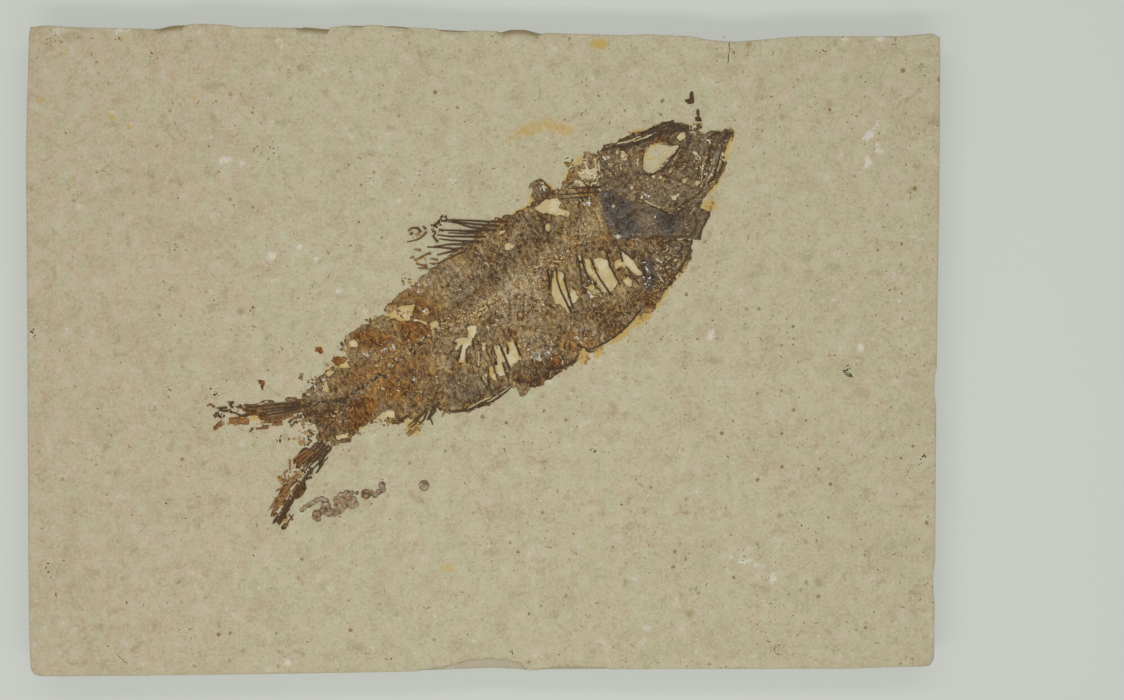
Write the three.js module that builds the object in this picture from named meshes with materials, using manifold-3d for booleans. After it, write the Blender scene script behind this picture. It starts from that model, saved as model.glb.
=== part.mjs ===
// A fossil herring pressed flat on one face of a hand-sized limestone slab.
// Millimetres, +Z up. The origin is the middle of the slab's flat underside,
// +X runs from tail to head and +Y towards the fish's back.
import * as THREE from "three";
import { mergeVertices } from "three/addons/utils/BufferGeometryUtils.js";
import Module from "manifold-3d";

const wasm = await Module();
wasm.setup();

// Driving dimensions
const SLAB_THICKNESS = 11;
const CORNER_RADIUS = 2;
const CORNER_STEPS = 3;
const CHIP_DEPTH = 1.4;
const CHIP_STEPS = 8;
const BODY_FILM = 0.4;
const HEAD_PLATE = 0.45;
const RAY_HEIGHT = 0.35;
const FLAKE_HEIGHT = 0.3;
const SUTURE_GAP = 0.4;
const RAY_ROOT_WIDTH = 0.42;
const RAY_TIP_WIDTH = 0.24;
const BACKBONE_WIDTH = 0.8;
const VERTEBRA_RADIUS = 0.5;
const VERTEBRA_HEIGHT = 0.25;
const BEAD_FLATTENING = 0.8;
const BEAD_SIDES = 12;
const BEAD_STEPS = 3;

const FACE = SLAB_THICKNESS;

// The slab's edges, corner to corner, as they were broken and sawn
const SLAB_TOP_EDGE = [
  [-90.6, 64.6], [-87.6, 65.0], [-81.6, 64.6], [-66.2, 64.3], [-62.6, 65.2], [-60.0, 65.3],
  [-55.6, 65.3], [-51.6, 65.1], [-48.6, 64.6], [-37.6, 64.5], [-36.0, 64.9], [-31.2, 64.5],
  [-26.2, 65.1], [-17.6, 65.0], [-12.6, 64.5], [-2.6, 64.0], [3.4, 63.8], [5.4, 64.4],
  [8.4, 64.4], [11.6, 63.5], [28.4, 63.0], [32.4, 63.2], [41.4, 62.8], [45.8, 62.0],
  [50.4, 61.7], [55.4, 62.1], [63.4, 62.8], [83.4, 62.8], [90.0, 63.4],
];
const SLAB_RIGHT_EDGE = [
  [91.5, 62.6], [91.5, 55.0], [91.3, 30.0], [90.8, -3.6], [90.4, -5.4], [90.3, -9.0],
  [90.7, -11.0], [90.5, -42.0], [90.1, -44.6], [90.1, -48.0], [90.4, -51.0], [90.3, -59.0],
];
const SLAB_LOWER_RIGHT_CORNER = [90.3, -63.4];
const SLAB_BOTTOM_EDGE = [
  [84.4, -63.4], [73.4, -63.8], [27.4, -63.9], [8.4, -64.1], [1.4, -63.8], [-8.6, -64.2],
  [-20.6, -64.5], [-40.6, -64.8], [-60.6, -65.1], [-83.6, -65.3],
];
const SLAB_LOWER_LEFT_CORNER = [-90.6, -65.3];
const SLAB_LEFT_EDGE = [
  [-90.8, -58.0], [-91.0, -42.0], [-91.2, 0.0], [-91.5, 40.0], [-91.3, 48.0], [-90.9, 63.0],
];

// Places along the edges where the top layer has split away: start, end and reach inwards
const EDGE_CHIPS = [
  { from: [-66.2, 64.9], to: [-59.2, 66.0], reach: 1.5 },
  { from: [-37.4, 65.2], to: [-30.6, 65.2], reach: 1.7 },
  { from: [2.8, 64.6], to: [12.0, 64.6], reach: 1.6 },
  { from: [8.0, -64.5], to: [-12.0, -64.5], reach: 3.2 },
];

// The head: skull with its eye socket, and the gill cover under the cheek line
const SKULL_BACK_TO_CHIN = [
  [23.6, 36.0], [23.4, 39.4], [24.1, 40.8], [26.6, 41.6], [29.8, 42.8], [32.0, 43.5], [34.4, 44.9],
  [36.0, 45.5], [37.8, 45.6], [41.2, 44.8], [41.0, 43.9], [43.2, 43.6], [44.3, 43.0], [46.2, 43.6],
  [47.2, 43.5], [47.3, 42.6], [48.1, 43.5], [49.0, 44.0], [49.9, 43.6], [49.7, 42.8], [49.1, 42.1],
  [48.5, 41.2], [48.4, 39.8], [48.5, 37.8], [48.3, 36.4], [47.6, 35.4], [46.7, 33.4], [45.8, 32.5],
  [44.4, 31.4], [43.6, 30.5],
];
const CHEEK_LINE = [
  [43.2, 28.8], [41.2, 29.2], [39.2, 28.4], [37.4, 27.2], [35.8, 28.0], [33.2, 29.2], [31.8, 29.9],
  [29.6, 29.6], [28.0, 30.9], [26.8, 31.6], [25.4, 32.1], [23.6, 32.0],
];
const EYE_SOCKET = [
  [32.4, 39.5], [33.9, 41.3], [35.0, 41.9], [36.0, 42.1], [36.5, 41.4], [37.4, 40.4], [38.8, 41.0],
  [39.4, 40.7], [38.8, 40.0], [37.2, 37.8], [36.2, 36.6], [34.1, 35.4], [33.0, 35.3], [31.8, 35.7],
  [32.2, 37.8],
];
const GILL_FRONT = [[45.3, 27.4], [44.6, 26.0], [43.8, 24.2], [43.2, 22.4]];
const GILL_LOWER_LINE = [
  [42.2, 22.4], [40.2, 22.6], [37.8, 22.4], [35.4, 22.8], [33.0, 22.4], [30.6, 22.6], [28.6, 22.2],
  [27.0, 21.8],
];
const GILL_REAR_LINE = [[26.0, 22.8], [25.2, 24.4], [24.6, 26.2], [23.8, 28.0], [23.6, 30.0]];

// The trunk: back from nape to tail root, then belly from tail root to throat
const TRUNK_BACK = [
  [23.0, 39.3], [22.6, 38.8], [21.6, 39.5], [21.2, 38.8], [19.9, 38.3], [19.3, 37.1], [17.8, 36.4],
  [17.2, 34.7], [15.6, 32.2], [14.4, 31.4], [12.8, 33.6], [11.8, 33.8], [10.6, 33.4], [10.0, 32.2],
  [10.0, 30.6], [10.4, 29.8], [9.4, 28.6], [7.6, 27.8], [4.0, 26.0], [1.8, 25.3], [0.4, 24.4],
  [-1.0, 22.8], [-2.6, 21.6], [-5.6, 19.8], [-8.4, 17.8], [-10.6, 16.2], [-13.4, 12.8],
  [-15.8, 11.2], [-17.8, 10.0], [-19.4, 8.2], [-18.6, 7.8], [-17.2, 8.4], [-13.8, 8.6],
  [-15.0, 7.4], [-15.0, 6.2], [-16.6, 5.8], [-21.2, 6.6], [-22.6, 5.8], [-22.4, 4.8], [-26.6, 3.2],
  [-27.4, 1.2], [-26.4, -0.4], [-26.4, -2.0], [-26.8, -3.6], [-28.4, -3.8], [-30.8, -4.2],
  [-33.0, -6.4], [-36.2, -9.4], [-36.4, -10.0], [-36.4, -12.2], [-35.0, -14.0], [-33.0, -14.8],
  [-32.6, -16.4],
];
const TRUNK_TAIL_ROOT = [[-33.0, -17.6], [-31.6, -18.4], [-30.2, -18.8]];
const TRUNK_BELLY = [
  [-27.4, -18.0], [-26.2, -16.6], [-22.2, -13.8], [-19.6, -12.4], [-18.8, -13.6], [-17.2, -14.4],
  [-14.2, -13.6], [-9.0, -11.0], [-6.2, -12.4], [-3.0, -12.0], [2.2, -10.0], [5.6, -7.4], [6.8, -7.2],
  [7.6, -8.6], [9.6, -7.6], [12.8, -6.4], [14.4, -4.6], [18.6, -2.2], [19.0, -0.4], [20.0, 0.6],
  [21.4, -0.4], [22.8, 0.8], [25.2, 2.0], [28.4, 4.4], [31.6, 8.2], [34.4, 8.4], [36.0, 11.2],
  [39.4, 16.0], [41.4, 19.6],
];

// Slots between the ribs where the body film is lost and bare stone shows
const RIB_WINDOWS = [
  [[10.8, 28.0], [13.0, 30.0], [14.6, 30.0], [15.2, 28.6], [17.2, 27.6], [17.2, 26.8], [13.2, 26.9]],
  [[13.0, 15.8], [14.2, 15.8], [14.8, 12.2], [16.8, 8.4], [14.8, 8.6], [14.0, 10.0]],
  [[15.0, 15.7], [16.0, 15.4], [16.6, 11.2], [17.6, 8.6], [15.8, 12.0]],
  [[18.6, 19.2], [19.4, 18.8], [21.0, 14.2], [20.4, 13.2]],
  [[20.2, 18.4], [21.2, 17.8], [22.6, 14.4], [23.8, 12.0], [22.8, 12.4], [21.0, 15.4]],
  [[22.0, 17.8], [24.4, 17.8], [26.4, 14.2], [26.0, 12.2], [25.0, 11.8], [23.4, 14.6]],
  [[26.2, 17.6], [27.0, 18.4], [29.0, 15.4], [29.8, 12.6], [28.6, 13.2], [26.2, 16.2]],
  [[28.0, 19.8], [30.2, 17.8], [31.6, 15.0], [30.6, 15.4], [28.6, 17.8]],
  [[-3.2, 4.4], [-1.6, 4.4], [-2.0, 0.6], [-3.0, 0.8], [-2.8, 2.8]],
  [[-5.4, 1.6], [-4.2, 2.2], [-3.6, 1.8], [-3.4, -2.4], [-4.8, -2.2], [-4.4, 0.0]],
  [[2.4, 0.8], [3.2, 0.6], [5.0, -3.4], [4.4, -3.2]],
  [[4.0, 0.3], [5.0, 0.0], [5.8, 1.2], [7.4, -1.8], [5.4, -3.4]],
  [[2.6, -0.6], [4.2, -5.0], [2.8, -4.0], [1.6, -3.0]],
  [[1.4, -4.4], [2.6, -6.8], [1.6, -5.4]],
  [[0.0, -4.8], [1.0, -6.2], [1.4, -8.0], [0.2, -6.2]],
];

// The backbone where it breaks through the film near the tail
const BACKBONE_PATH = [[-28.0, -10.0], [-25.0, -8.0], [-22.2, -6.0], [-21.2, -5.4]];
const VERTEBRAE = [
  [-20.0, -4.8], [-18.8, -3.6], [-17.4, -2.2], [-15.8, -1.0], [-14.2, 0.0], [-12.4, 1.2],
  [-10.8, 2.4], [-9.2, 3.6],
];

// Fin rays, each from its tip to its root
const DORSAL_RAYS = [
  [[-8.4, 26.6], [-6.6, 26.0], [-0.6, 25.7], [0.8, 25.7]],
  [[-6.2, 25.4], [-4.6, 25.2], [-2.6, 24.7], [-0.6, 24.4]],
  [[-8.8, 24.0], [-3.6, 23.8], [-1.4, 23.8]],
  [[-9.0, 23.0], [-6.6, 22.7], [-3.0, 22.5]],
  [[-9.0, 22.2], [-6.6, 22.0], [-4.6, 21.6]],
  [[-9.4, 20.8], [-6.6, 21.1], [-5.6, 21.2]],
  [[-11.2, 20.3], [-8.6, 20.2], [-6.8, 20.0]],
  [[-9.2, 19.0], [-7.6, 19.4]],
  [[-10.6, 18.2], [-9.0, 18.3]],
];
const ANAL_RAYS = [
  [[-10.0, -15.0], [-9.7, -13.5]],
  [[-11.0, -14.0], [-9.8, -12.2]],
  [[-12.6, -15.1], [-11.8, -14.0]],
  [[-13.0, -14.8], [-11.8, -13.2]],
  [[-15.0, -15.0], [-14.0, -14.4]],
  [[-14.4, -16.6], [-13.4, -15.8]],
  [[-15.4, -16.8], [-14.6, -16.0]],
];
const TAIL_RAYS = [
  [[-51.2, -10.3], [-50.2, -10.9]],
  [[-49.8, -11.7], [-48.2, -11.3]],
  [[-53.4, -11.6], [-51.4, -11.4]],
  [[-52.8, -12.2], [-51.0, -12.2]],
  [[-50.4, -12.3], [-48.8, -12.6]],
  [[-54.0, -13.0], [-52.8, -13.2]],
];

// The forked tail: two dark lobes of crowded rays
const TAIL_UPPER_LOBE = [
  [-36.8, -10.2], [-38.6, -10.2], [-42.6, -10.8], [-46.8, -11.4], [-47.0, -12.2], [-45.2, -12.6],
  [-44.2, -13.8], [-42.6, -14.0], [-40.0, -13.6], [-37.6, -12.3], [-36.8, -12.2],
];
const TAIL_LOWER_LOBE = [
  [-30.0, -19.4], [-31.2, -21.0], [-32.8, -23.6], [-33.4, -24.4], [-34.4, -24.8], [-35.4, -26.0],
  [-36.0, -27.6], [-38.2, -30.2], [-39.6, -33.0], [-40.6, -34.8], [-41.2, -34.2], [-40.4, -32.0],
  [-42.2, -33.2], [-42.4, -32.4], [-41.0, -30.4], [-40.0, -26.8], [-38.6, -25.8], [-36.6, -24.0],
  [-38.0, -22.0], [-36.2, -20.0], [-35.0, -19.6], [-33.2, -18.3], [-31.7, -19.0],
];

// Flakes of bone and scale that drifted clear of the fish
const SNOUT_FLAKES = [
  [[41.8, 51.3], [41.9, 50.6], [41.8, 49.4], [41.0, 49.5], [40.8, 49.9], [41.3, 50.1]],
  [[42.8, 48.1], [43.1, 47.6], [42.9, 46.6], [43.4, 45.9], [42.5, 45.8], [42.4, 46.3], [42.7, 46.8]],
  [[42.8, 45.2], [43.3, 45.1], [43.6, 44.4], [43.1, 44.2]],
];
const BACK_FLAKES = [
  [[-30.0, -1.4], [-29.4, -1.0], [-28.6, -1.4], [-27.6, -1.2], [-27.0, -1.8], [-29.0, -3.2], [-30.2, -2.2]],
  [[-33.4, 0.6], [-32.4, 0.4], [-32.0, -0.4], [-32.8, -0.6], [-33.4, -0.2]],
  [[-26.6, 7.1], [-25.0, 7.5], [-24.9, 7.2], [-26.6, 6.8]],
  [[-36.8, -4.6], [-35.8, -4.6], [-36.2, -6.0], [-36.8, -5.6]],
  [[-44.6, -6.2], [-43.8, -6.4], [-43.9, -8.0], [-44.4, -7.9]],
];
const TAIL_FLAKES = [
  [[-50.8, -13.6], [-49.4, -13.2], [-48.2, -13.2], [-47.0, -13.9], [-47.0, -14.8], [-51.0, -14.8]],
  [[-52.2, -14.0], [-52.0, -14.8], [-54.0, -16.2], [-53.6, -15.2], [-52.8, -14.2]],
  [[-45.6, -16.0], [-44.8, -15.2], [-42.8, -14.9], [-42.6, -15.6], [-44.6, -16.1]],
  [[-42.0, -14.9], [-41.4, -14.5], [-40.2, -14.3], [-40.4, -14.8], [-41.6, -15.2]],
];

// Fossil droppings below the tail: bead centres with their radii
const COPROLITE_STRING = [
  [-36.2, -32.0, 0.45], [-35.6, -31.4, 0.5], [-34.8, -31.0, 0.55], [-34.0, -30.5, 0.55],
  [-33.2, -30.0, 0.55], [-32.2, -29.8, 0.6], [-31.4, -30.2, 0.65], [-31.4, -31.2, 1.0],
  [-31.8, -32.0, 0.9], [-33.2, -32.8, 0.9], [-33.6, -33.4, 0.6], [-33.0, -33.8, 0.6],
  [-30.8, -32.4, 0.9], [-29.8, -32.5, 0.8], [-28.8, -32.2, 0.7], [-28.2, -31.8, 0.6],
  [-27.6, -31.2, 0.6], [-28.0, -30.2, 0.8], [-29.2, -30.0, 0.8], [-28.4, -29.2, 0.8],
  [-27.2, -28.8, 0.8], [-26.2, -28.6, 0.55], [-25.5, -28.6, 0.45], [-27.0, -29.8, 0.8],
  [-26.0, -30.0, 0.8], [-26.2, -31.0, 0.8], [-25.4, -30.8, 0.6],
];
const COPROLITE_END = [
  [-23.4, -28.8, 1.0], [-22.4, -28.6, 0.6], [-21.6, -29.0, 0.6], [-20.8, -28.4, 0.6],
  [-20.0, -28.0, 0.6], [-20.2, -27.0, 0.7],
];
const COPROLITE_PELLET = [[-11.8, -27.1, 1.05]];

// Colours of the stone and of the fossil's stained bone
const FINISHES = {
  stone: { color: 0xb2a98b, roughness: 0.9, metalness: 0 },
  bodyFilm: { color: 0x86714f, roughness: 0.7, metalness: 0 },
  headBone: { color: 0x7a684d, roughness: 0.6, metalness: 0 },
  gillBone: { color: 0x61574a, roughness: 0.55, metalness: 0 },
  tailBone: { color: 0x69523a, roughness: 0.65, metalness: 0 },
  looseBone: { color: 0x9a7446, roughness: 0.7, metalness: 0 },
  dropping: { color: 0x9b8b6c, roughness: 0.85, metalness: 0 },
};

const fossil = new THREE.Group();

const shifted = (points, dx, dy) => points.map(([x, y]) => [x + dx, y + dy]);

function addPiece(name, geometry, finish) {
  const mesh = new THREE.Mesh(geometry, new THREE.MeshStandardMaterial(FINISHES[finish]));
  mesh.name = name;
  fossil.add(mesh);
}

function addNumbered(name, pieces, finish, makeGeometry) {
  pieces.forEach((piece, index) => addPiece(`${name}_${index + 1}`, makeGeometry(piece), finish));
}

// A flat plate from its outline and holes, standing from one height up to another
function plate(outline, bottom, height, holes = []) {
  const contour = outline.map(([x, y]) => new THREE.Vector2(x, y));
  if (THREE.ShapeUtils.isClockWise(contour)) contour.reverse();
  const shape = new THREE.Shape(contour);
  shape.holes = holes.map((hole) => new THREE.Path(hole.map(([x, y]) => new THREE.Vector2(x, y))));
  const geometry = new THREE.ExtrudeGeometry(shape, { depth: height, bevelEnabled: false });
  geometry.translate(0, 0, bottom);
  return geometry;
}

// A tapered rod laid flat along a path, from its tip to its root
function rod(path, tipWidth, rootWidth, bottom, height) {
  const points = path.map(([x, y]) => new THREE.Vector2(x, y));
  const last = points.length - 1;
  const left = [];
  const right = [];
  points.forEach((point, index) => {
    const ahead = points[Math.min(index + 1, last)];
    const behind = points[Math.max(index - 1, 0)];
    const along = ahead.clone().sub(behind).normalize();
    const half = THREE.MathUtils.lerp(tipWidth, rootWidth, index / last) / 2;
    left.push([point.x - along.y * half, point.y + along.x * half]);
    right.push([point.x + along.y * half, point.y - along.x * half]);
  });
  return plate([...right, ...left.reverse()], bottom, height);
}

// A low dome on a flat foot
function dome([x, y, radius], bottom, height) {
  const profile = [new THREE.Vector2(0, 0)];
  for (let step = 0; step <= BEAD_STEPS; step += 1) {
    const angle = (step / BEAD_STEPS) * (Math.PI / 2);
    const reach = step === BEAD_STEPS ? 0 : radius * Math.cos(angle);
    profile.push(new THREE.Vector2(reach, height * Math.sin(angle)));
  }
  const geometry = new THREE.LatheGeometry(profile, BEAD_SIDES);
  geometry.rotateX(Math.PI / 2);
  geometry.translate(x, y, bottom);
  return geometry;
}

function toSolid(geometry) {
  const bare = geometry.clone();
  bare.deleteAttribute("normal");
  bare.deleteAttribute("uv");
  const merged = mergeVertices(bare);
  const corners = merged.index.array;
  const triVerts = [];
  for (let start = 0; start < corners.length; start += 3) {
    const triangle = [corners[start], corners[start + 1], corners[start + 2]];
    if (new Set(triangle).size === 3) triVerts.push(...triangle);
  }
  return new wasm.Manifold(new wasm.Mesh({
    numProp: 3,
    vertProperties: new Float32Array(merged.attributes.position.array),
    triVerts: new Uint32Array(triVerts),
  }));
}

function toGeometry(solid) {
  const mesh = solid.getMesh();
  const geometry = new THREE.BufferGeometry();
  geometry.setAttribute("position", new THREE.BufferAttribute(mesh.vertProperties, mesh.numProp));
  geometry.setIndex(new THREE.BufferAttribute(mesh.triVerts, 1));
  geometry.computeVertexNormals();
  return geometry;
}

// A string of overlapping domes joined into one body
function beadString(beads) {
  const solids = beads.map((bead) => toSolid(dome(bead, FACE, bead[2] * BEAD_FLATTENING)));
  return toGeometry(solids.reduce((joined, next) => joined.add(next)));
}

// A quarter turn into the bottom edge on the right, or out of it on the left
function roundedCorner([x, y], side) {
  const centre = [x - side * CORNER_RADIUS, y + CORNER_RADIUS];
  const start = side > 0 ? 0 : -Math.PI / 2;
  const points = [];
  for (let step = 0; step <= CORNER_STEPS; step += 1) {
    const turn = start - (step / CORNER_STEPS) * (Math.PI / 2);
    points.push([centre[0] + CORNER_RADIUS * Math.cos(turn), centre[1] + CORNER_RADIUS * Math.sin(turn)]);
  }
  return points;
}

// The bowed block that takes one split-off flake out of the slab's edge
function chipBlock({ from, to, reach }) {
  const start = new THREE.Vector2(...from);
  const end = new THREE.Vector2(...to);
  const middle = start.clone().add(end).divideScalar(2);
  const inwards = new THREE.Vector2(0, -Math.sign(middle.y));
  const bow = new THREE.QuadraticBezierCurve(start, middle.addScaledVector(inwards, 2 * reach), end);
  const outline = bow.getPoints(CHIP_STEPS).map((point) => [point.x, point.y]);
  const clear = -inwards.y * reach;
  outline.push([end.x, end.y + clear], [start.x, start.y + clear]);
  return toSolid(plate(outline, FACE - CHIP_DEPTH, 2 * CHIP_DEPTH));
}

function slab() {
  const outline = [
    ...SLAB_TOP_EDGE, ...SLAB_RIGHT_EDGE,
    ...roundedCorner(SLAB_LOWER_RIGHT_CORNER, 1), ...SLAB_BOTTOM_EDGE,
    ...roundedCorner(SLAB_LOWER_LEFT_CORNER, -1), ...SLAB_LEFT_EDGE,
  ];
  const block = toSolid(plate(outline, 0, SLAB_THICKNESS));
  return toGeometry(EDGE_CHIPS.reduce((stone, chip) => stone.subtract(chipBlock(chip)), block));
}

function gillCover() {
  const outline = [
    ...shifted(CHEEK_LINE, 0, -SUTURE_GAP).reverse(), ...GILL_FRONT, ...GILL_LOWER_LINE, ...GILL_REAR_LINE,
  ];
  return plate(outline, FACE, HEAD_PLATE);
}

function trunk() {
  const alongGill = [
    ...shifted(GILL_LOWER_LINE, 0, -SUTURE_GAP), ...shifted(GILL_REAR_LINE, -SUTURE_GAP, 0),
  ];
  const outline = [...TRUNK_BACK, ...TRUNK_TAIL_ROOT, ...TRUNK_BELLY, ...alongGill];
  return plate(outline, FACE, BODY_FILM, RIB_WINDOWS);
}

const finRay = (path) => rod(path, RAY_TIP_WIDTH, RAY_ROOT_WIDTH, FACE, RAY_HEIGHT);
const looseFlake = (outline) => plate(outline, FACE, FLAKE_HEIGHT);
const spine = (path) => rod(path, BACKBONE_WIDTH, BACKBONE_WIDTH, FACE + BODY_FILM, VERTEBRA_HEIGHT);
const vertebra = ([x, y]) => dome([x, y, VERTEBRA_RADIUS], FACE + BODY_FILM, VERTEBRA_HEIGHT);

addPiece("slab", slab(), "stone");
addPiece("skull", plate([...SKULL_BACK_TO_CHIN, ...CHEEK_LINE], FACE, HEAD_PLATE, [EYE_SOCKET]), "headBone");
addPiece("gill_cover", gillCover(), "gillBone");
addPiece("trunk", trunk(), "bodyFilm");
addPiece("backbone", spine(BACKBONE_PATH), "tailBone");
addNumbered("vertebra", VERTEBRAE, "tailBone", vertebra);
addNumbered("dorsal_ray", DORSAL_RAYS, "tailBone", finRay);
addNumbered("anal_ray", ANAL_RAYS, "tailBone", finRay);
addPiece("tail_upper_lobe", plate(TAIL_UPPER_LOBE, FACE, BODY_FILM), "tailBone");
addPiece("tail_lower_lobe", plate(TAIL_LOWER_LOBE, FACE, BODY_FILM), "tailBone");
addNumbered("tail_ray", TAIL_RAYS, "tailBone", finRay);
addNumbered("tail_flake", TAIL_FLAKES, "looseBone", looseFlake);
addNumbered("back_flake", BACK_FLAKES, "looseBone", looseFlake);
addNumbered("snout_flake", SNOUT_FLAKES, "looseBone", looseFlake);
addPiece("coprolite_string", beadString(COPROLITE_STRING), "dropping");
addPiece("coprolite_end", beadString(COPROLITE_END), "dropping");
addPiece("coprolite_pellet", beadString(COPROLITE_PELLET), "dropping");

export default fossil;
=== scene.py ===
"""Looks of a fossil fish slab: ragged bone films, fin rays, loose scales and droppings on limestone."""

import math

import bpy
import numpy as np
from bpy.props import FloatProperty, FloatVectorProperty, IntProperty, PointerProperty
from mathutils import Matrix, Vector
from mathutils.geometry import delaunay_2d_cdt


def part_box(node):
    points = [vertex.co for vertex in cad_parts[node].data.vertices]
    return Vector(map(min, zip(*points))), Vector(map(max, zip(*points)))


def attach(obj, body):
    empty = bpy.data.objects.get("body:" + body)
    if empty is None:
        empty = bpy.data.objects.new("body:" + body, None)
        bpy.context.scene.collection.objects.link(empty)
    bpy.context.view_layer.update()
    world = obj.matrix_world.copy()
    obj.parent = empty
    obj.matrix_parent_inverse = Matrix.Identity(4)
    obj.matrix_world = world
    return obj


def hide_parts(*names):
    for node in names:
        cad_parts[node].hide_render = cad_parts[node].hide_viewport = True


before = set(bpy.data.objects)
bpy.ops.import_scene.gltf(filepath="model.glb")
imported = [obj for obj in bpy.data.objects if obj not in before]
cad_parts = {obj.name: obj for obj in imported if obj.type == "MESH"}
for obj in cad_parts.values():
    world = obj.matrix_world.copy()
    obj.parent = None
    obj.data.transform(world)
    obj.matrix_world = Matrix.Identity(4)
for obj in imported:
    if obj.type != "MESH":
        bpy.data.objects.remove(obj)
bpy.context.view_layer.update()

bl_info = {
    "name": "Fossil Fish Slab",
    "version": (1, 0, 0),
    "blender": (4, 5, 0),
    "location": "View3D > Sidebar > Fossil",
    "description": "Builds a pressed fossil fish on a limestone slab",
    "category": "Object",
}

# Lengths are millimetres until a mesh is made, and the photograph's marks are pixels of 1124 by 700
MM = 0.001
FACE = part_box("slab")[1].z / MM
PIXELS_PER_MM = 5.0
PHOTO_MIDDLE = (483.0, 350.0)
PHOTO_WIDTH = 1124
PHOTO_HEIGHT = 700
NOISE_TABLE = 256
# How deep a film's foot is sunk in the stone, and the thickness of each kind of film
FILM_FOOT = 0.12
HEAD_FILM = 0.3
TAIL_FILM = 0.2
FLAKE_FILM = 0.16
DROPPING_FILM = 0.08


def srgb(red, green, blue):
    """A screen colour of 0 to 255 as the linear colour that shaders use"""
    parts = [channel / 255 for channel in (red, green, blue)]
    return tuple(part / 12.92 if part <= 0.04045 else ((part + 0.055) / 1.055) ** 2.4 for part in parts)


# Screen colours of each bone film, from its middle brown to its light and its dark one
FILM_BROWNS = {
    "skull_bone": ((116, 96, 65), (150, 128, 90), (78, 60, 38)),
    "gill_bone": ((108, 93, 72), (130, 113, 88), (82, 68, 50)),
    "tail_upper_lobe_bone": ((112, 83, 50), (150, 114, 68), (78, 57, 34)),
    "tail_lower_lobe_bone": ((94, 69, 40), (130, 94, 54), (66, 48, 29)),
    "loose_scale": ((146, 112, 66), (172, 146, 100), (104, 74, 40)),
    "dropping": ((157, 137, 110), (190, 172, 144), (108, 88, 66)),
}
# Screen colours of each rod or bead, from its dark end to its light end
ROD_BROWNS = {
    "spine_bone": ((66, 50, 32), (184, 162, 118)),
    "ray_bone": ((80, 60, 37), (148, 106, 60)),
    "rib_bone": ((72, 53, 33), (190, 170, 126)),
    "scale_fibre": ((70, 52, 32), (184, 164, 120)),
    "bone_crumb": ((70, 50, 29), (176, 138, 80)),
    "scale_crumb": ((74, 56, 36), (200, 181, 138)),
    "mineral_speck": ((62, 54, 38), (140, 116, 70)),
    # White of the scale glints: partly white scale and partly painted highlights
    "scale_glint": ((188, 180, 154), (214, 211, 202)),
    "mineral_dash": ((70, 60, 42), (150, 126, 80)),
}
# Patches where the body film is lost and the pale stone shows, as x and y by turns
WINDOWS = [
    [536, 209, 541, 205, 545, 200, 557, 199, 560, 203, 559, 208, 570, 212, 569, 216, 556, 215, 543, 213],
    [548.5, 270, 550, 270, 551, 277, 550, 289, 549, 283],
    [555, 271, 556.5, 278, 559, 286, 563, 295, 567, 303, 571, 310, 569, 312, 562, 307, 556, 303, 552, 293,
     552, 281], [558, 271, 563, 273, 565, 287, 568, 296, 572, 306, 570, 307, 566, 299, 562, 291, 558, 281],
    [571, 289, 575, 291, 578, 297, 574, 303, 571, 301], [577.5, 255, 581, 255, 583, 270, 580.5, 268],
    [583, 258, 589.5, 259, 592, 266, 595, 274, 600, 281, 598, 283, 593, 277, 587, 272.5],
    [588, 287.5, 592.5, 285, 596, 290, 595, 294, 590, 292],
    [597, 282, 601, 281, 605, 287, 608, 291.5, 602, 291],
    [594, 259.5, 600, 259, 607.5, 260.5, 610, 269, 614, 275, 617, 281, 615, 286, 611, 292.5, 602, 281],
    [615, 262, 620, 258.5, 626, 267, 620, 267, 616, 269],
    [622.5, 280, 629, 277, 632, 283, 630.5, 287, 626, 285],
    [621.5, 251, 632, 260, 635, 264, 641, 274, 637.5, 275, 632, 271, 627.5, 266, 623, 260],
    [468, 327, 475.5, 327.5, 473.5, 337.5, 472.8, 344.5, 467, 345, 465.5, 363, 459, 362.5, 462, 350,
     463.5, 345, 460.5, 344.5, 456, 351, 455.5, 348, 459, 342, 455, 341, 460, 339, 469, 337.5],
    [481.5, 342, 485, 342.5, 485, 350, 482, 351], [487, 348, 490, 351, 490.5, 355.5, 488, 354.5],
    [495, 346, 499, 347, 502, 355, 504.5, 361, 502, 364, 505, 375, 500, 376, 497, 371, 496, 362, 497, 356],
    [502.5, 347, 507, 346, 507.5, 352.5, 509, 350, 508, 344, 514, 341, 517.5, 351, 521, 359, 515, 362.5,
     510.5, 367, 505, 356], [517.5, 342, 519.5, 343, 521, 349, 519, 347.5],
    [490, 367.5, 494, 364, 495.5, 369, 495, 374, 497, 378, 495.5, 384, 493, 381, 491, 375],
    [483, 375, 486, 374, 488, 379, 487, 386, 484.5, 382],
    [392, 312, 398, 308, 406, 306, 415, 305, 412, 313, 408, 320, 400, 321, 394, 317],
    [323, 379, 328, 380, 328, 392, 323, 391], [379, 418, 386, 412, 387, 417],
    [387, 411, 394, 411, 395, 418, 389, 418], [336, 435, 348, 433, 349, 438, 337, 440],
    [348, 342, 355, 340, 357, 346, 350, 347], [505, 244, 510, 243, 514, 246, 511, 249.5, 505, 249],
    [499, 231, 505, 230, 505, 233, 500, 234], [546, 224, 549, 224, 549, 230, 546, 229],
    [430, 323, 437, 321, 439, 326, 432, 329], [340, 363, 348, 363, 350, 367, 342, 368],
    [325, 373, 331, 369, 335, 372, 329, 378],
]
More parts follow.
